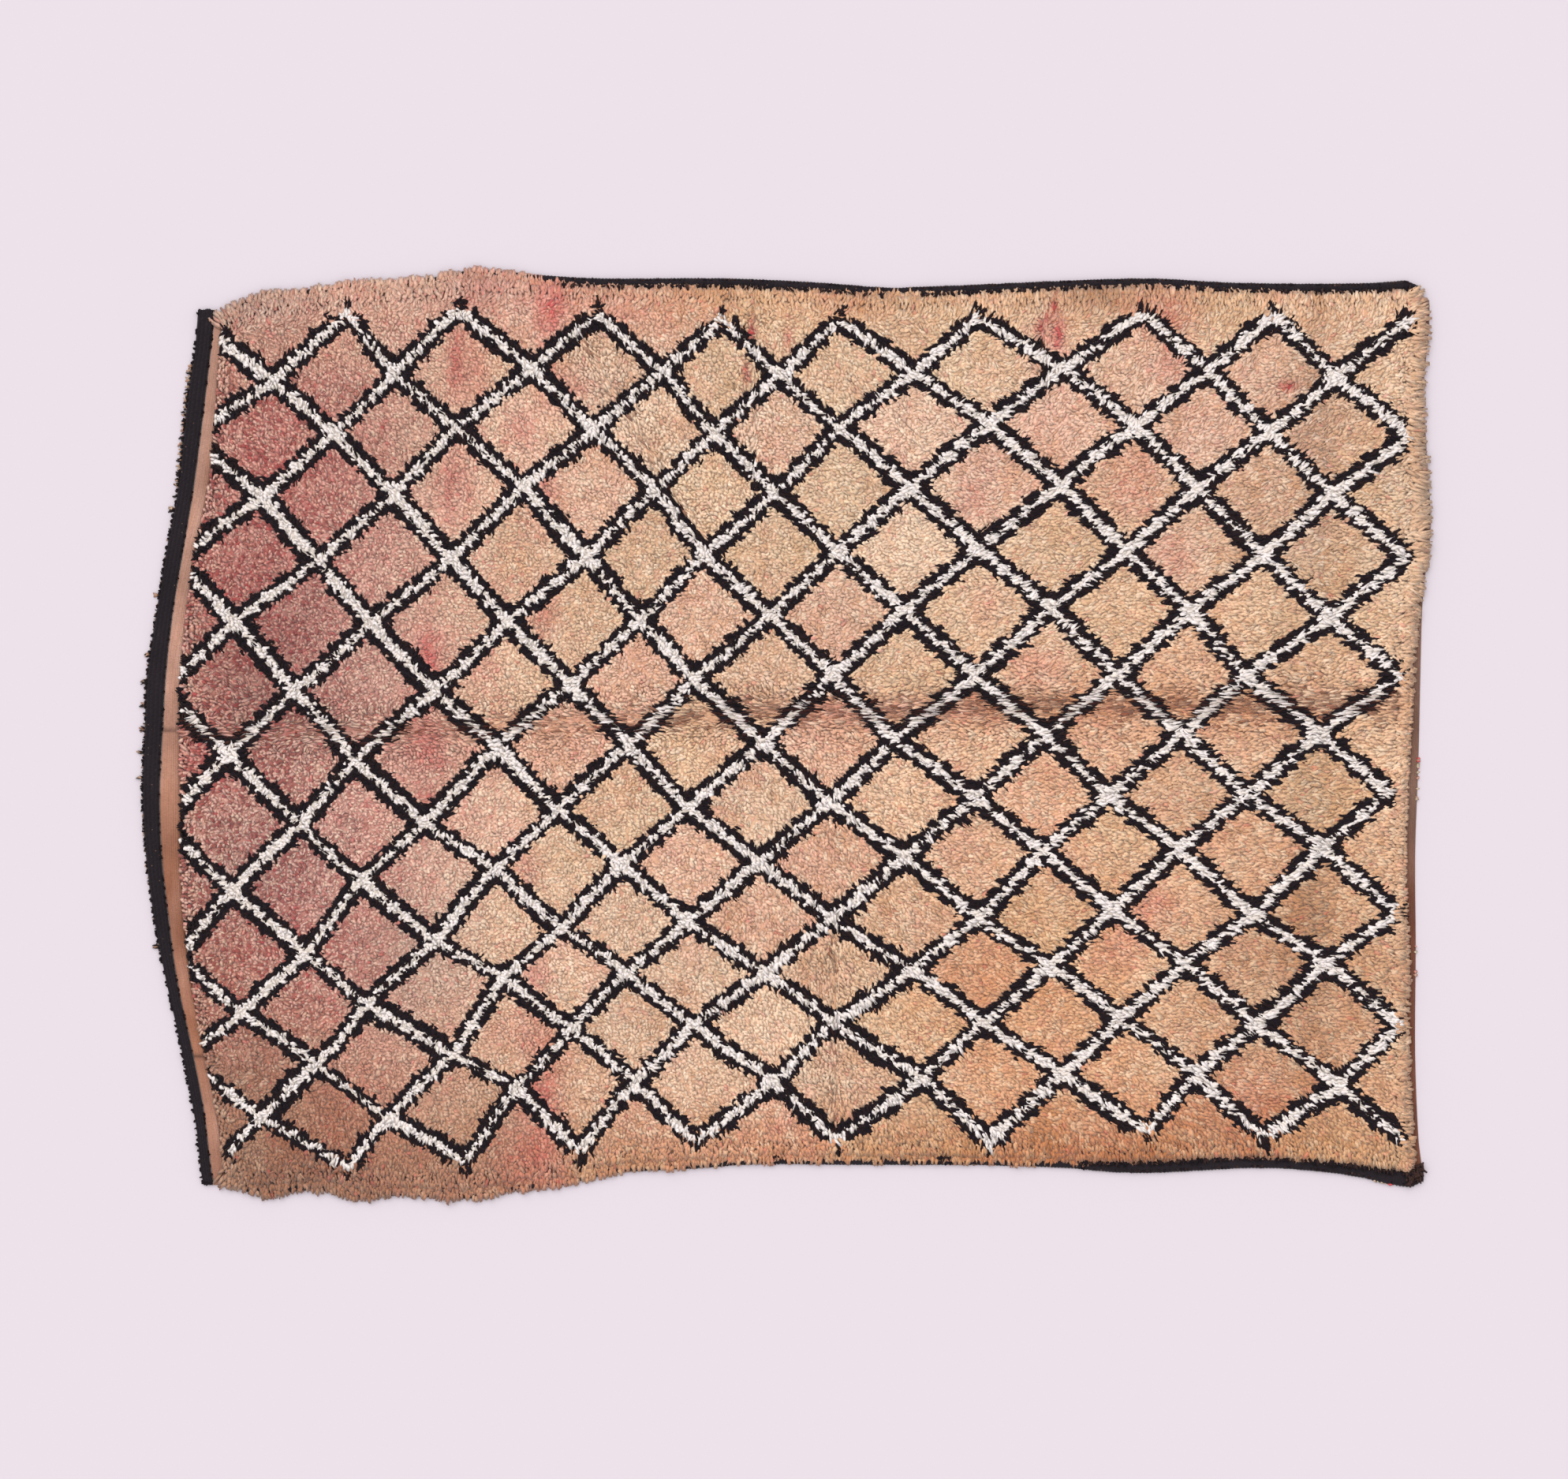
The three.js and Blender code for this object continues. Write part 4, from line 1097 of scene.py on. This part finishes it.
def ground_weave():
    """The knotted cloth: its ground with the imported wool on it, up to where the locks part."""
    across, along = 64, 86  # the cloth's cells
    s, t = np.meshgrid(np.linspace(0, 1, along + 1), np.linspace(0, 1, across + 1), indexing="ij")
    x, y = cloth_point(s.ravel(), t.ravel())
    share, depth, _ = parted(x, y, 30 * MM)
    inside = np.minimum(np.minimum(s, 1 - s) * CLOTH_LONG, np.minimum(t, 1 - t) * CLOTH_WIDE).ravel()
    packed = np.maximum(pile_top()(x, y) - share * depth - MASS_DEPTH, MASS_RIM)
    packed = mix(MASS_RIM, packed, smooth_step(inside / MASS_FALL))
    top = points_at(x, y, packed)
    under = points_at(x, y, UNDERSIDE)
    at = np.arange(len(x)).reshape(along + 1, across + 1)
    quads = np.stack([at[:-1, :-1], at[1:, :-1], at[1:, 1:], at[:-1, 1:]], -1).reshape(-1, 4)
    rim = np.concatenate([at[:, 0], at[-1, 1:], at[-2::-1, -1], at[0, -2:0:-1]])
    after = np.roll(rim, -1)
    wall = np.stack([rim, rim + len(x), after + len(x), after], 1)[:, ::-1]
    faces = np.concatenate([quads, quads[:, ::-1] + len(x), wall])
    piece = new_piece("ground_weave", np.concatenate([top, under]), faces, ground_wool())
    i, j = lattice_place(x, y)
    add_map(piece, "lattice", np.tile(np.stack([(i - j) / 2, (i + j) / 2], 1), (2, 1)))
    random = np.random.default_rng(9)
    tips, between = faded_pile(x, y, random)
    inside = (i > 0) & (i < COLUMNS_OF_CROSSINGS + 0.5) & (j > 0) & (j < ROWS_OF_CROSSINGS)
    # The packed wool takes the colour halfway between the locks' tips and their deep colour, a tenth
    # darker: painted shade.
    paint(piece, np.tile(mix(between, tips, 0.5) * 0.9, (2, 1)), np.tile(inside, 2))
    return piece


def ground_wool():
    """Knot backs in the lattice's colours: the map counts its lines one way and the other."""
    nodes = Nodes("knot backs", 0.95, 0.05)
    place = nodes.add("ShaderNodeUVMap", uv_map="lattice").outputs["UV"]
    halves = nodes.add("ShaderNodeSeparateXYZ", {"Vector": place}).outputs
    away = []
    for way in ("X", "Y"):
        folded = nodes.add("ShaderNodeMath", {0: halves[way], 1: 0.5}, operation="PINGPONG")
        away.append(folded.outputs["Value"])
    nearest = nodes.add("ShaderNodeMath", {0: away[0], 1: away[1]}, operation="MINIMUM").outputs["Value"]
    core, line = (
        nodes.ramp(nearest, [(half / LINE_GAP, 1.0), (half / LINE_GAP + 0.01, 0.0)])
        for half in (WHITE_HALF, LINE_HALF)
    )
    dye = nodes.dye()
    patterned = nodes.ramp(dye["Alpha"], [(0.8, 0.0), (1.0, 1.0)])
    line, core = nodes.multiply(line, patterned), nodes.multiply(core, patterned)
    colour = nodes.blend(line, dye["Color"], (*wool("black"), 1))
    # The white cores show greyer down in the packed wool: painted shade.
    colour = nodes.blend(core, colour, (*(wool("ivory") * 0.85), 1))
    # Each knot is lighter in its middle and darker towards its neighbours: painted shade over the knots'
    # bumps.
    knots = nodes.stretched(nodes.body(), (1 / ROW_PITCH, 1 / KNOT_PITCH, 1))
    bumps = nodes.add("ShaderNodeTexVoronoi", {"Vector": knots, "Scale": 1.0})
    shade = nodes.ramp(bumps.outputs["Distance"], [(0.0, 1.12), (0.8, 0.75)])
    return nodes.finish(nodes.multiply(colour, shade), shade, 0.8, 2 * MM)


def bar(name, rings, material):
    """A closed bar through rings of points, each ring being one cross-section."""
    count, sides = rings.shape[:2]
    points = rings.reshape(-1, 3)
    at = np.arange(count * sides).reshape(count, sides)
    after = np.roll(at, -1, axis=1)
    walls = np.stack([at[:-1], after[:-1], after[1:], at[1:]], -1).reshape(-1, 4)
    piece = new_piece(name, points, walls, material)
    start_modelling()
    bpy.context.view_layer.objects.active = piece
    piece.select_set(True)
    bpy.ops.object.mode_set(mode="EDIT")
    bpy.ops.mesh.select_mode(type="EDGE")
    bpy.ops.mesh.select_all(action="DESELECT")
    bpy.ops.mesh.select_non_manifold()
    bpy.ops.mesh.fill_holes(sides=0)
    bpy.ops.mesh.select_all(action="SELECT")
    bpy.ops.mesh.normals_make_consistent(inside=False)
    bpy.ops.object.mode_set(mode="OBJECT")
    return piece


def ribbed_section(ribs, lift):
    """A strip's cross-section as shares of its width and height: a flat foot, then ribs over the top."""
    share = np.linspace(0, 1, ribs * 4 + 1)
    arch = np.minimum(1, 4.5 * np.minimum(share, 1 - share) ** 0.7)
    top = arch * (1 - lift + lift * abs(np.sin(share * ribs * math.pi)))
    return np.concatenate([[0.02], share, [0.98]]), np.concatenate([[0], top * 0.98 + 0.02, [0]])


def woven_strip(name, places, edges, height, ribs, lift, twist, waver, material):
    """A flat-woven strip between two edges, with ribs along it. Twist bumps each rib like twined thread."""
    share, rise = ribbed_section(ribs, lift)
    inner, outer = edges
    across = mix(outer(places)[:, None], inner(places)[:, None], share[None])
    along = np.broadcast_to(places[:, None], across.shape)
    bumps = np.sin(along / twist["pitch"] * 2 * math.pi + np.floor(share * ribs)[None] * 2.2)
    high = rise[None] * (height + waver * drift(along, across, 60 * MM, 70) + twist["rise"] * bumps)
    high = np.maximum(high, 0.3 * MM * (rise[None] > 0))
    return bar(name, np.stack([across, along, high], -1), material)


# Painted shade in the heading's creases, a dark brown line across it.
CREASES = ((8, 3.5), (-613, 4))  # across the heading: where, and half as wide, in millimetres


def heading():
    """The peach flat weave at the left end."""
    low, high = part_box("heading_weave")
    places = np.arange(low.y, high.y, 5 * MM)
    material = woven_wool("faded heading weave", None, 1.8 * MM, "y", strength=0.7)
    twist = {"pitch": 5.2 * MM, "rise": 0.2 * MM}
    edges = inner_and_outer("heading_weave", 1, -1)
    piece = woven_strip("heading_ribs", places, edges, 4.2 * MM, 9, 0.26, twist, 0.4 * MM, material)
    x, y = np.array([v.co[:2] for v in piece.data.vertices]).T
    worn = smooth_step((0.15 - y) / 0.5) * (1 - 0.45 * smooth_step((-0.55 - y) / 0.12))
    dye = tinted(wool("heading"), "heading_tan", worn)
    dye = tinted(dye, "dusk", np.clip(0.3 * drift(x * 3, y, 120 * MM, 95), 0, 0.4))
    dye = tinted(dye, "umber", np.clip(0.5 * drift(x * 3, y, 90 * MM, 96), 0, 0.5))
    # Painted shade along each crease.
    for place, half in CREASES:
        dye = tinted(dye, "dark_brown", 0.75 * np.exp(-(((y / MM - place) / half) ** 2)))
    paint(piece, dye)
    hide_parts("heading_weave")
    return piece


def black_band():
    """The black band outside the heading, twined from thick wool."""
    low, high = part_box("end_band_black")
    places = np.arange(low.y, high.y, 2.4 * MM)
    fleck = {"scale": 140, "rare": 0.88, "shade": 0.6}
    material = woven_wool("black twined wool", shades("black", 0.6, 1.7), 2.2 * MM, "y", fleck, 0.8)
    twist = {"pitch": 9 * MM, "rise": 0.6 * MM}
    edges = inner_and_outer("end_band_black", 1, -1)
    piece = woven_strip("end_band", places, edges, 7.4 * MM, 4, 0.22, twist, 0.9 * MM, material)
    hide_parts("end_band_black")
    return piece


WEAVE_END = 12 * MM  # how far short of its solid the weave ends, under the back corner's locks


def brown_weave():
    """The grey-brown flat weave under the right end's locks."""
    low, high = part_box("end_weave_brown")
    places = np.arange(low.y, high.y - WEAVE_END, 5 * MM)
    material = woven_wool("grey-brown end weave", None, 1.6 * MM, "y", strength=0.6)
    twist = {"pitch": 6 * MM, "rise": 0.25 * MM}
    edges = inner_and_outer("end_weave_brown", 1, 1)
    piece = woven_strip("end_weave", places, edges, 4.2 * MM, 6, 0.35, twist, 0.4 * MM, material)
    _, y = np.array([v.co[:2] for v in piece.data.vertices]).T
    reddish = np.clip(smooth_step((-0.1 - y) / 0.3) + 0.3 * drift(y, y * 0, 60 * MM, 97), 0, 1)
    paint(piece, tinted(wool("grey_brown"), "red_brown", reddish))
    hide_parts("end_weave_brown")
    return piece


CORD_HALF = 4.2 * MM  # of the side cords' height
OVERCAST_PITCH = 6.5 * MM  # from one turn of wool round a cord to the next


def side_cord(side):
    """A side cord overcast in black wool, its turns lying slantwise round it."""
    own = SIDES[side]
    node = f"selvedge_{side}"
    inner, outer = inner_and_outer(node, 0, own["out"])
    low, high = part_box(node)
    places = np.arange(low.x, high.x - own["short"], 2.3 * MM)
    turn = np.linspace(0, 2 * math.pi, 11)[:-1]
    near, far = inner(places), outer(places)
    middle, half = (near + far) / 2, abs(far - near) / 2
    wraps = np.sin(places[:, None] / OVERCAST_PITCH * 2 * math.pi + turn[None] * 0.9)
    lumps = drift(places, places * 0, 23 * MM, 80 + own["seed"])[:, None]
    swell = 1 + 0.07 * wraps + 0.05 * lumps
    across = middle[:, None] + half[:, None] * np.cos(turn)[None] * swell
    up = np.sin(turn)[None]
    rise = CORD_HALF * (1 + up * np.where(up > 0, swell, 0.96))
    ring = np.stack([np.broadcast_to(places[:, None], across.shape), across, rise], -1)
    fleck = {"scale": 90, "rare": 0.9, "shade": 0.5}
    colours = shades("black", 0.6, 1.8)
    material = woven_wool(f"black overcast wool {side}", colours, 2.0 * MM, "x", fleck, 0.8)
    piece = bar(f"side_cord_{side}", ring, material)
    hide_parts(node)
    return piece


RIM_ROOT_DEPTH = 8 * MM  # under the height that the locks at the rim reach
RIM_ROOT_LEAST = 3 * MM
RIM_BEND_RISE = 4.5 * MM
RIM_TIP_DROP = (1, 4)  # in millimetres
RIM_SCATTER = 0.9  # of that height, in millimetres


def rim_locks(name, node, x, y, out_x, out_y, top, kinds, faded, random):
    """Locks that lie out over an edge, from roots at (x, y) to tips that reach out by (out_x, out_y)."""
    count = len(x)
    top = top + random.uniform(-1, 1, count) * RIM_SCATTER * MM
    low = np.maximum(top - RIM_ROOT_DEPTH, RIM_ROOT_LEAST)
    root = points_at(x - out_x * 0.12, y - out_y * 0.12, low)
    apex = points_at(x + out_x * 0.3, y + out_y * 0.3, top + RIM_BEND_RISE)
    tip = points_at(x + out_x, y + out_y, top - random.uniform(*RIM_TIP_DROP, count) * MM)
    size = random.normal(1.05, LOCK_SPREAD, count).clip(0.6, 1.5)
    dye, root_dye_and_shade = dyed(kinds, x, y, random)
    dye = mix(mix(dye, root_dye_and_shade, random.uniform(0, 0.25, (count, 1))), wool(faded[0]), faded[1])
    material = lock_wool(f"{name} wool", count, **LOCK_TONES["peach"])
    roll = random.normal(0, 0.4, count)
    width, thick = LOCK_WIDTH * size, LOCK_THICK * size
    piece = add_locks(name, material, root, apex, tip, width, thick, roll, dye, root_dye_and_shade)
    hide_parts(node)
    return piece


def rim_places(length, rows, random):
    """Shares along an edge, and the row that each lock stands in, for overlapping rows."""
    count = round(length / RIM_PITCH)
    row = np.arange(count * rows) % rows
    share = (np.arange(count * rows) / rows + random.uniform(-0.5, 0.5, count * rows)) / count
    return share.clip(0, 1), row


CORNER = 0.03  # the share of an edge that lies in a corner
CORNER_REACH = 15 * MM
SIDE_REACH = (14, 22)  # of the rows of locks that lie on the first one, in millimetres
SIDE_TOPS = {"first": 7.5, "inner": 13, "outer": 8.5}  # how high the rows lie, in millimetres


def side_rim(side):
    """The locks over a long side's edge. They fan out at its corners and are short at the right one."""
    own = SIDES[side]
    sign = own["out"]
    random = np.random.default_rng(31 + own["seed"])
    s, row = rim_places(CLOTH_LONG, SIDE_ROWS, random)
    x, y = cloth_point(s, np.full(len(s), (1 + sign) / 2))
    corner = smooth_step(1 - s / CORNER) + smooth_step(1 - (1 - s) / CORNER)
    lot = 1 + own["uneven"] * drift(x, x * 0, 20 * MM, 91)
    full = np.maximum(sign * (own["tips"](x) - y) * lot * (1 - 0.35 * corner * (s > 0.5)), 6 * MM)
    full = np.where((corner > 0.5) & (s > 0.5), np.minimum(full, CORNER_REACH), full)
    # The first row reaches from the edge to the tips and each next row lies on it, from out to in.
    out = (1 - (row - 1) / (SIDE_ROWS - 1) + random.uniform(-0.12, 0.04, len(x))).clip(0, 1)
    end = np.where(row == 0, full * random.uniform(0.85, 0.97, len(x)), mix(4 * MM, full, out))
    reach = np.where(row == 0, end + 4 * MM, random.uniform(*SIDE_REACH, len(x)) * MM)
    y = y + sign * (end - reach)
    lean = random.normal(0, 0.32, len(x)) + 0.3 * drift(x, y, 40 * MM, 90)
    lean = lean - 0.6 * smooth_step(1 - s / 0.022) + 0.4 * smooth_step(1 - (1 - s) / 0.022)
    reach = np.where(corner * (s > 0.5) > 0.3, np.minimum(reach, CORNER_REACH), reach)
    out_x, out_y = reach * np.sin(lean), sign * reach * np.cos(lean)
    kinds = np.where(corner > 0.4, 0, wool_kinds(x, y + out_y * 0.4))
    top = np.where(row == 0, SIDE_TOPS["first"], mix(SIDE_TOPS["inner"], SIDE_TOPS["outer"], out)) * MM
    name, node = f"edge_locks_{side}", f"locks_{side}"
    return rim_locks(name, node, x, y, out_x, out_y, top, kinds, ("rust", 0.1), random)


def right_rim():
    """The locks over the right end's edge."""
    random = np.random.default_rng(33)
    t, row = rim_places(CLOTH_WIDE, END_ROWS, random)
    x, y = cloth_point(np.ones(len(t)), t)
    inset = row * RIM_PITCH * random.uniform(0.8, 1.6, len(x))
    x = x - inset
    longer = 6 * MM * smooth_step((-0.3 - y) / 0.15) * smooth_step((y + 0.83) / 0.04)
    reach = np.maximum(tips_right(y) + longer - x - inset * 0.6, 8 * MM) * random.uniform(0.8, 1.03, len(x))
    lean = random.normal(0, 0.4, len(x)) + 0.5 * drift(x, y, 50 * MM, 92) - 0.15
    corner = smooth_step(1 - (1 - t) / CORNER)
    lean = lean * (1 - 0.7 * corner) + 0.3 * corner
    reach = np.where(corner > 0, np.minimum(reach, mix(30, 27, corner) * MM), reach)
    out_x, out_y = reach * np.cos(lean), reach * np.sin(lean)
    kinds = np.zeros(len(x))
    name, node = "edge_locks_right", "locks_right"
    top = 10.5 * MM + inset * 0.22
    return rim_locks(name, node, x, y, out_x, out_y, top, kinds, ("taupe", 0.2), random)


DROOP = (0.3, 0.8)  # the share of its height that the tip of an end of yarn keeps, least and most
ENDS_IN_BUNCH = 12
OVER_PILE = (4, 12)  # half the length of a cord's end of yarn that lies over the pile, in millimetres
OVER_FLOOR = (2, 5)  # and of one that lies outward
KNOB_LONG = (34 * MM, 3 * MM)  # from where to where the knob is, short of the cord's right end


def tufts(name, x, y, way, out, height, wools, random, droop=DROOP, second=0):
    """Short ends of yarn that lie over an edge, each with its way in radians and its length. Second is the
    least share of the second wool."""
    count = len(x)
    out_x, out_y = out * np.cos(way), out * np.sin(way)
    root = points_at(x - out_x, y - out_y, height - 1.5 * MM)
    apex = points_at(x, y, height + random.uniform(0.8, 2.6, count) * MM)
    tip = points_at(x + out_x, y + out_y, height * random.uniform(*droop, count))
    size = random.uniform(0.55, 1, count)
    share = np.maximum(random.random((count, 1)) ** 3, np.broadcast_to(second, count)[:, None])
    dye = mix(wool(wools[0]), wool(wools[1]), share)
    material = lock_wool(f"{name} wool", count, **LOCK_TONES["black"])
    roll = random.normal(0, 0.5, count)
    width, thick = LOCK_WIDTH * size, LOCK_THICK * size
    # Each end is its yarn's colour darkened to seven tenths at its root: painted shade.
    piece = add_locks(name, material, root, apex, tip, width, thick, roll, dye, dye * 0.7)
    return piece


TUFTS_AT_ENDS = (16, 8)  # at the band's back end and at its front end


def band_tufts():
    """The black band's cut ends of yarn."""
    random = np.random.default_rng(43)
    inner, outer = inner_and_outer("end_band_black", 1, -1)
    low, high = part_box("end_band_black")
    y = np.arange(low.y + 3 * MM, high.y - 2 * MM, 5.4 * MM)
    # Tufts stand along both edges, and more of them at the band's two ends.
    ends = np.repeat([high.y - 3 * MM, low.y + 3 * MM], TUFTS_AT_ENDS)
    far = random.random(len(y) + len(ends)) < 0.7
    y = np.concatenate([y + random.normal(0, 2 * MM, len(y)), ends])
    across = np.where(far, 0.04, 0.93)
    across[-len(ends):] = random.uniform(0.05, 0.95, len(ends))
    x = mix(outer(y), inner(y), across)
    way = np.where(far, math.pi, 0) + random.normal(0, 0.7, len(y))
    way[-len(ends):] = np.where(ends > 0, 0.5, -0.5) * math.pi + random.normal(0, 0.6, len(ends))
    out = random.uniform(2.5, 5.5, len(y)) * MM
    wools = ("black", "brown_black")
    return tufts("band_tufts", x, y, way, out, 6 * MM, wools, random)


def cord_tufts(side):
    """The cord's cut ends of yarn."""
    own = SIDES[side]
    sign, knob = own["out"], own["knob"]
    random = np.random.default_rng(44 + own["seed"])
    inner, outer = inner_and_outer(f"selvedge_{side}", 0, sign)
    low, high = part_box(f"selvedge_{side}")
    x = np.arange(low.x + 4 * MM, high.x - 4 * MM - own["short"], 1.7 * MM)
    x = x + random.normal(0, 2 * MM, len(x))
    # They sit in uneven groups, some over the pile's side of the cord and some over its outside.
    x = x[drift(x, x * 0, 24 * MM, 83) + random.normal(0, 0.4, len(x)) > -0.25]
    # None stands where the pile's locks reach out past the cord.
    x = x[sign * (outer(x) - own["tips"](x)) > 3 * MM]
    # Bunches of ends stand at a few places, and the cord's right end is a knob of many ends.
    bunches = np.repeat(np.array(own["bunches"]) * MM, ENDS_IN_BUNCH)
    x = np.append(x, bunches + random.normal(0, 6 * MM, len(bunches)))
    x = np.append(x, random.uniform(high.x - KNOB_LONG[0], high.x - KNOB_LONG[1], knob))
    pileward = random.random(len(x)) < own["pileward"]
    across = np.where(pileward, 0.85, 0.2)
    across[len(x) - knob:] = random.uniform(0.1, 1.2, knob)
    y = mix(outer(x), inner(x), across)
    way = np.where(pileward, -sign, sign) * math.pi / 2 + random.normal(0, 0.6, len(x))
    way[len(x) - knob:] = random.uniform(-1.9, 1.9, knob)
    out = np.where(pileward, random.uniform(*OVER_PILE, len(x)), random.uniform(*OVER_FLOOR, len(x))) * MM
    out = out * own["length"]
    height = np.where(pileward, own["height"], 8) * MM
    droop = [np.where(pileward, own["droop"][k], DROOP[k]) for k in (0, 1)]
    brown = np.where(np.arange(len(x)) < len(x) - knob, 0, 0.75)
    name, wools = f"cord_tufts_{side}", ("black", "dark_brown")
    return tufts(name, x, y, way, out, height, wools, random, droop, brown)


CORNER_ENDS = (1.12, 1.126, 1.134, 1.142, 1.15)  # where ends hang out under the front corner
CORNER_WAYS = (-0.8, -0.5, -0.4, -0.25, -0.1)  # their ways, in radians


def loose_threads():
    """Ends of warp and of red wool that hang out at the right end and under the front corner."""
    random = np.random.default_rng(46)
    edge = line_along("end_weave_brown", 1, 1)
    y = np.concatenate([random.uniform(-128, -40, 16), random.uniform(-470, -300, 4)]) * MM
    x = edge(y) - 1.5 * MM
    way = random.normal(0, 0.7, len(y))
    under = line_along("selvedge_front", 0, -1)
    corner = np.array(CORNER_ENDS)
    x, y = np.append(x, corner), np.append(y, under(corner) + 0.5 * MM)
    way = np.append(way, CORNER_WAYS)
    out = random.uniform(3, 6, len(y)) * MM
    wools = ("warp", "madder")
    return tufts("loose_threads", x, y, way, out, 5 * MM, wools, random)


KNOTS_AT = (-405, -82, -35, 10, 55, 101, 152, 265, 428)  # knots in the cut warp, in millimetres
LOCKS_IN_KNOT = 5
FRAYED = (450, 712)  # from where to where the warp is frayed


def warp_ends():
    """Cut warp under the black band's edge: short ends, with knots and a frayed stretch that stick out."""
    random = np.random.default_rng(41)
    band = line_along("end_band_black", 1, -1)
    low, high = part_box("warp_ends_left")
    short = np.arange(low.y + 4 * MM, high.y - 4 * MM, 6.5 * MM)
    knots = np.repeat(np.array(KNOTS_AT) * MM, LOCKS_IN_KNOT)
    frayed = np.arange(*FRAYED, 4.0) * MM
    y = np.concatenate([short, knots, frayed])
    out = np.concatenate([
        random.uniform(1, 3.5, len(short)),
        random.uniform(7, 13, len(knots)),
        random.uniform(3, 10, len(frayed)),
    ]) * MM
    count = len(y)
    y = y + random.normal(0, 1.6 * MM, count)
    edge = band(y)
    root = points_at(edge + 3 * MM, y, 2.2 * MM)
    apex = points_at(edge - out * 0.5, y, random.uniform(2.4, 5, count) * MM)
    aside = random.normal(0, 2.5 * MM, count)
    tip = points_at(edge - out, y + aside, random.uniform(2, 3.2, count) * MM)
    width = np.where(np.arange(count) < len(short), 3.4, 5.6) * MM
    dye = mix(wool("warp"), wool("umber"), random.uniform(0.3, 1, (count, 1)))
    dark = random.random((count, 1)) < 0.5
    dye = np.where(dark, wool("brown_black"), dye)
    material = lock_wool("cut warp", count, 0.75, 1.1)
    roll = random.normal(0, 0.6, count)
    # Each end is darkened to six tenths at its root: painted shade.
    piece = add_locks("warp_ends", material, root, apex, tip, width, width * 0.6, roll, dye, dye * 0.6)
    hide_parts("warp_ends_left")
    return piece


# Floor, light and camera

FLOOR_SHOWN = (0.69, 0.615, 0.668)
FLOOR_SIZE = 14
SKY_LIGHT = 0.96
WINDOW_LIGHT = 1.15
WINDOW_WIDE = 60  # in degrees, as seen from the rug
WINDOW_TURN = (-38, -18)


def camera():
    lens = bpy.data.cameras.new("view")
    lens.lens = LENS
    lens.sensor_width = SENSOR
    lens.clip_end = FAR
    eye = bpy.data.objects.new("view", lens)
    eye.location = (*VIEW_CENTRE, PICTURE_TOP + VIEW_WIDTH * LENS / SENSOR)
    bpy.context.scene.collection.objects.link(eye)
    bpy.context.scene.camera = eye


def floor():
    start_modelling()
    bpy.ops.mesh.primitive_plane_add(size=FLOOR_SIZE, location=(0, 0, 0))
    piece = bpy.context.object
    piece.name = "floor"
    nodes = Nodes("pale floor", 1.0, 0.0, 0.0)
    nodes.shader.inputs["Base Color"].default_value = (*FLOOR_SHOWN, 1)
    piece.data.materials.append(nodes.material)


def light():
    world = bpy.data.worlds.new("studio")
    world.use_nodes = True
    sky = world.node_tree.nodes["Background"].inputs
    sky["Color"].default_value = (1, 1, 1, 1)
    sky["Strength"].default_value = SKY_LIGHT
    bpy.context.scene.world = world
    lamp = bpy.data.lights.new("window", "SUN")
    lamp.energy = WINDOW_LIGHT
    lamp.angle = math.radians(WINDOW_WIDE)
    window = bpy.data.objects.new("window", lamp)
    window.rotation_euler = (*(math.radians(turn) for turn in WINDOW_TURN), 0)
    bpy.context.scene.collection.objects.link(window)
    bpy.context.scene.view_settings.view_transform = "Standard"


camera()
floor()
light()
ground = ground_weave()
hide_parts("pile_field")
pile()
strips = [heading(), black_band(), brown_weave()]
cords = [side_cord("back"), side_cord("front")]
rims = [side_rim("back"), side_rim("front"), right_rim()]
ends = [warp_ends(), band_tufts(), cord_tufts("back"), cord_tufts("front"), loose_threads()]
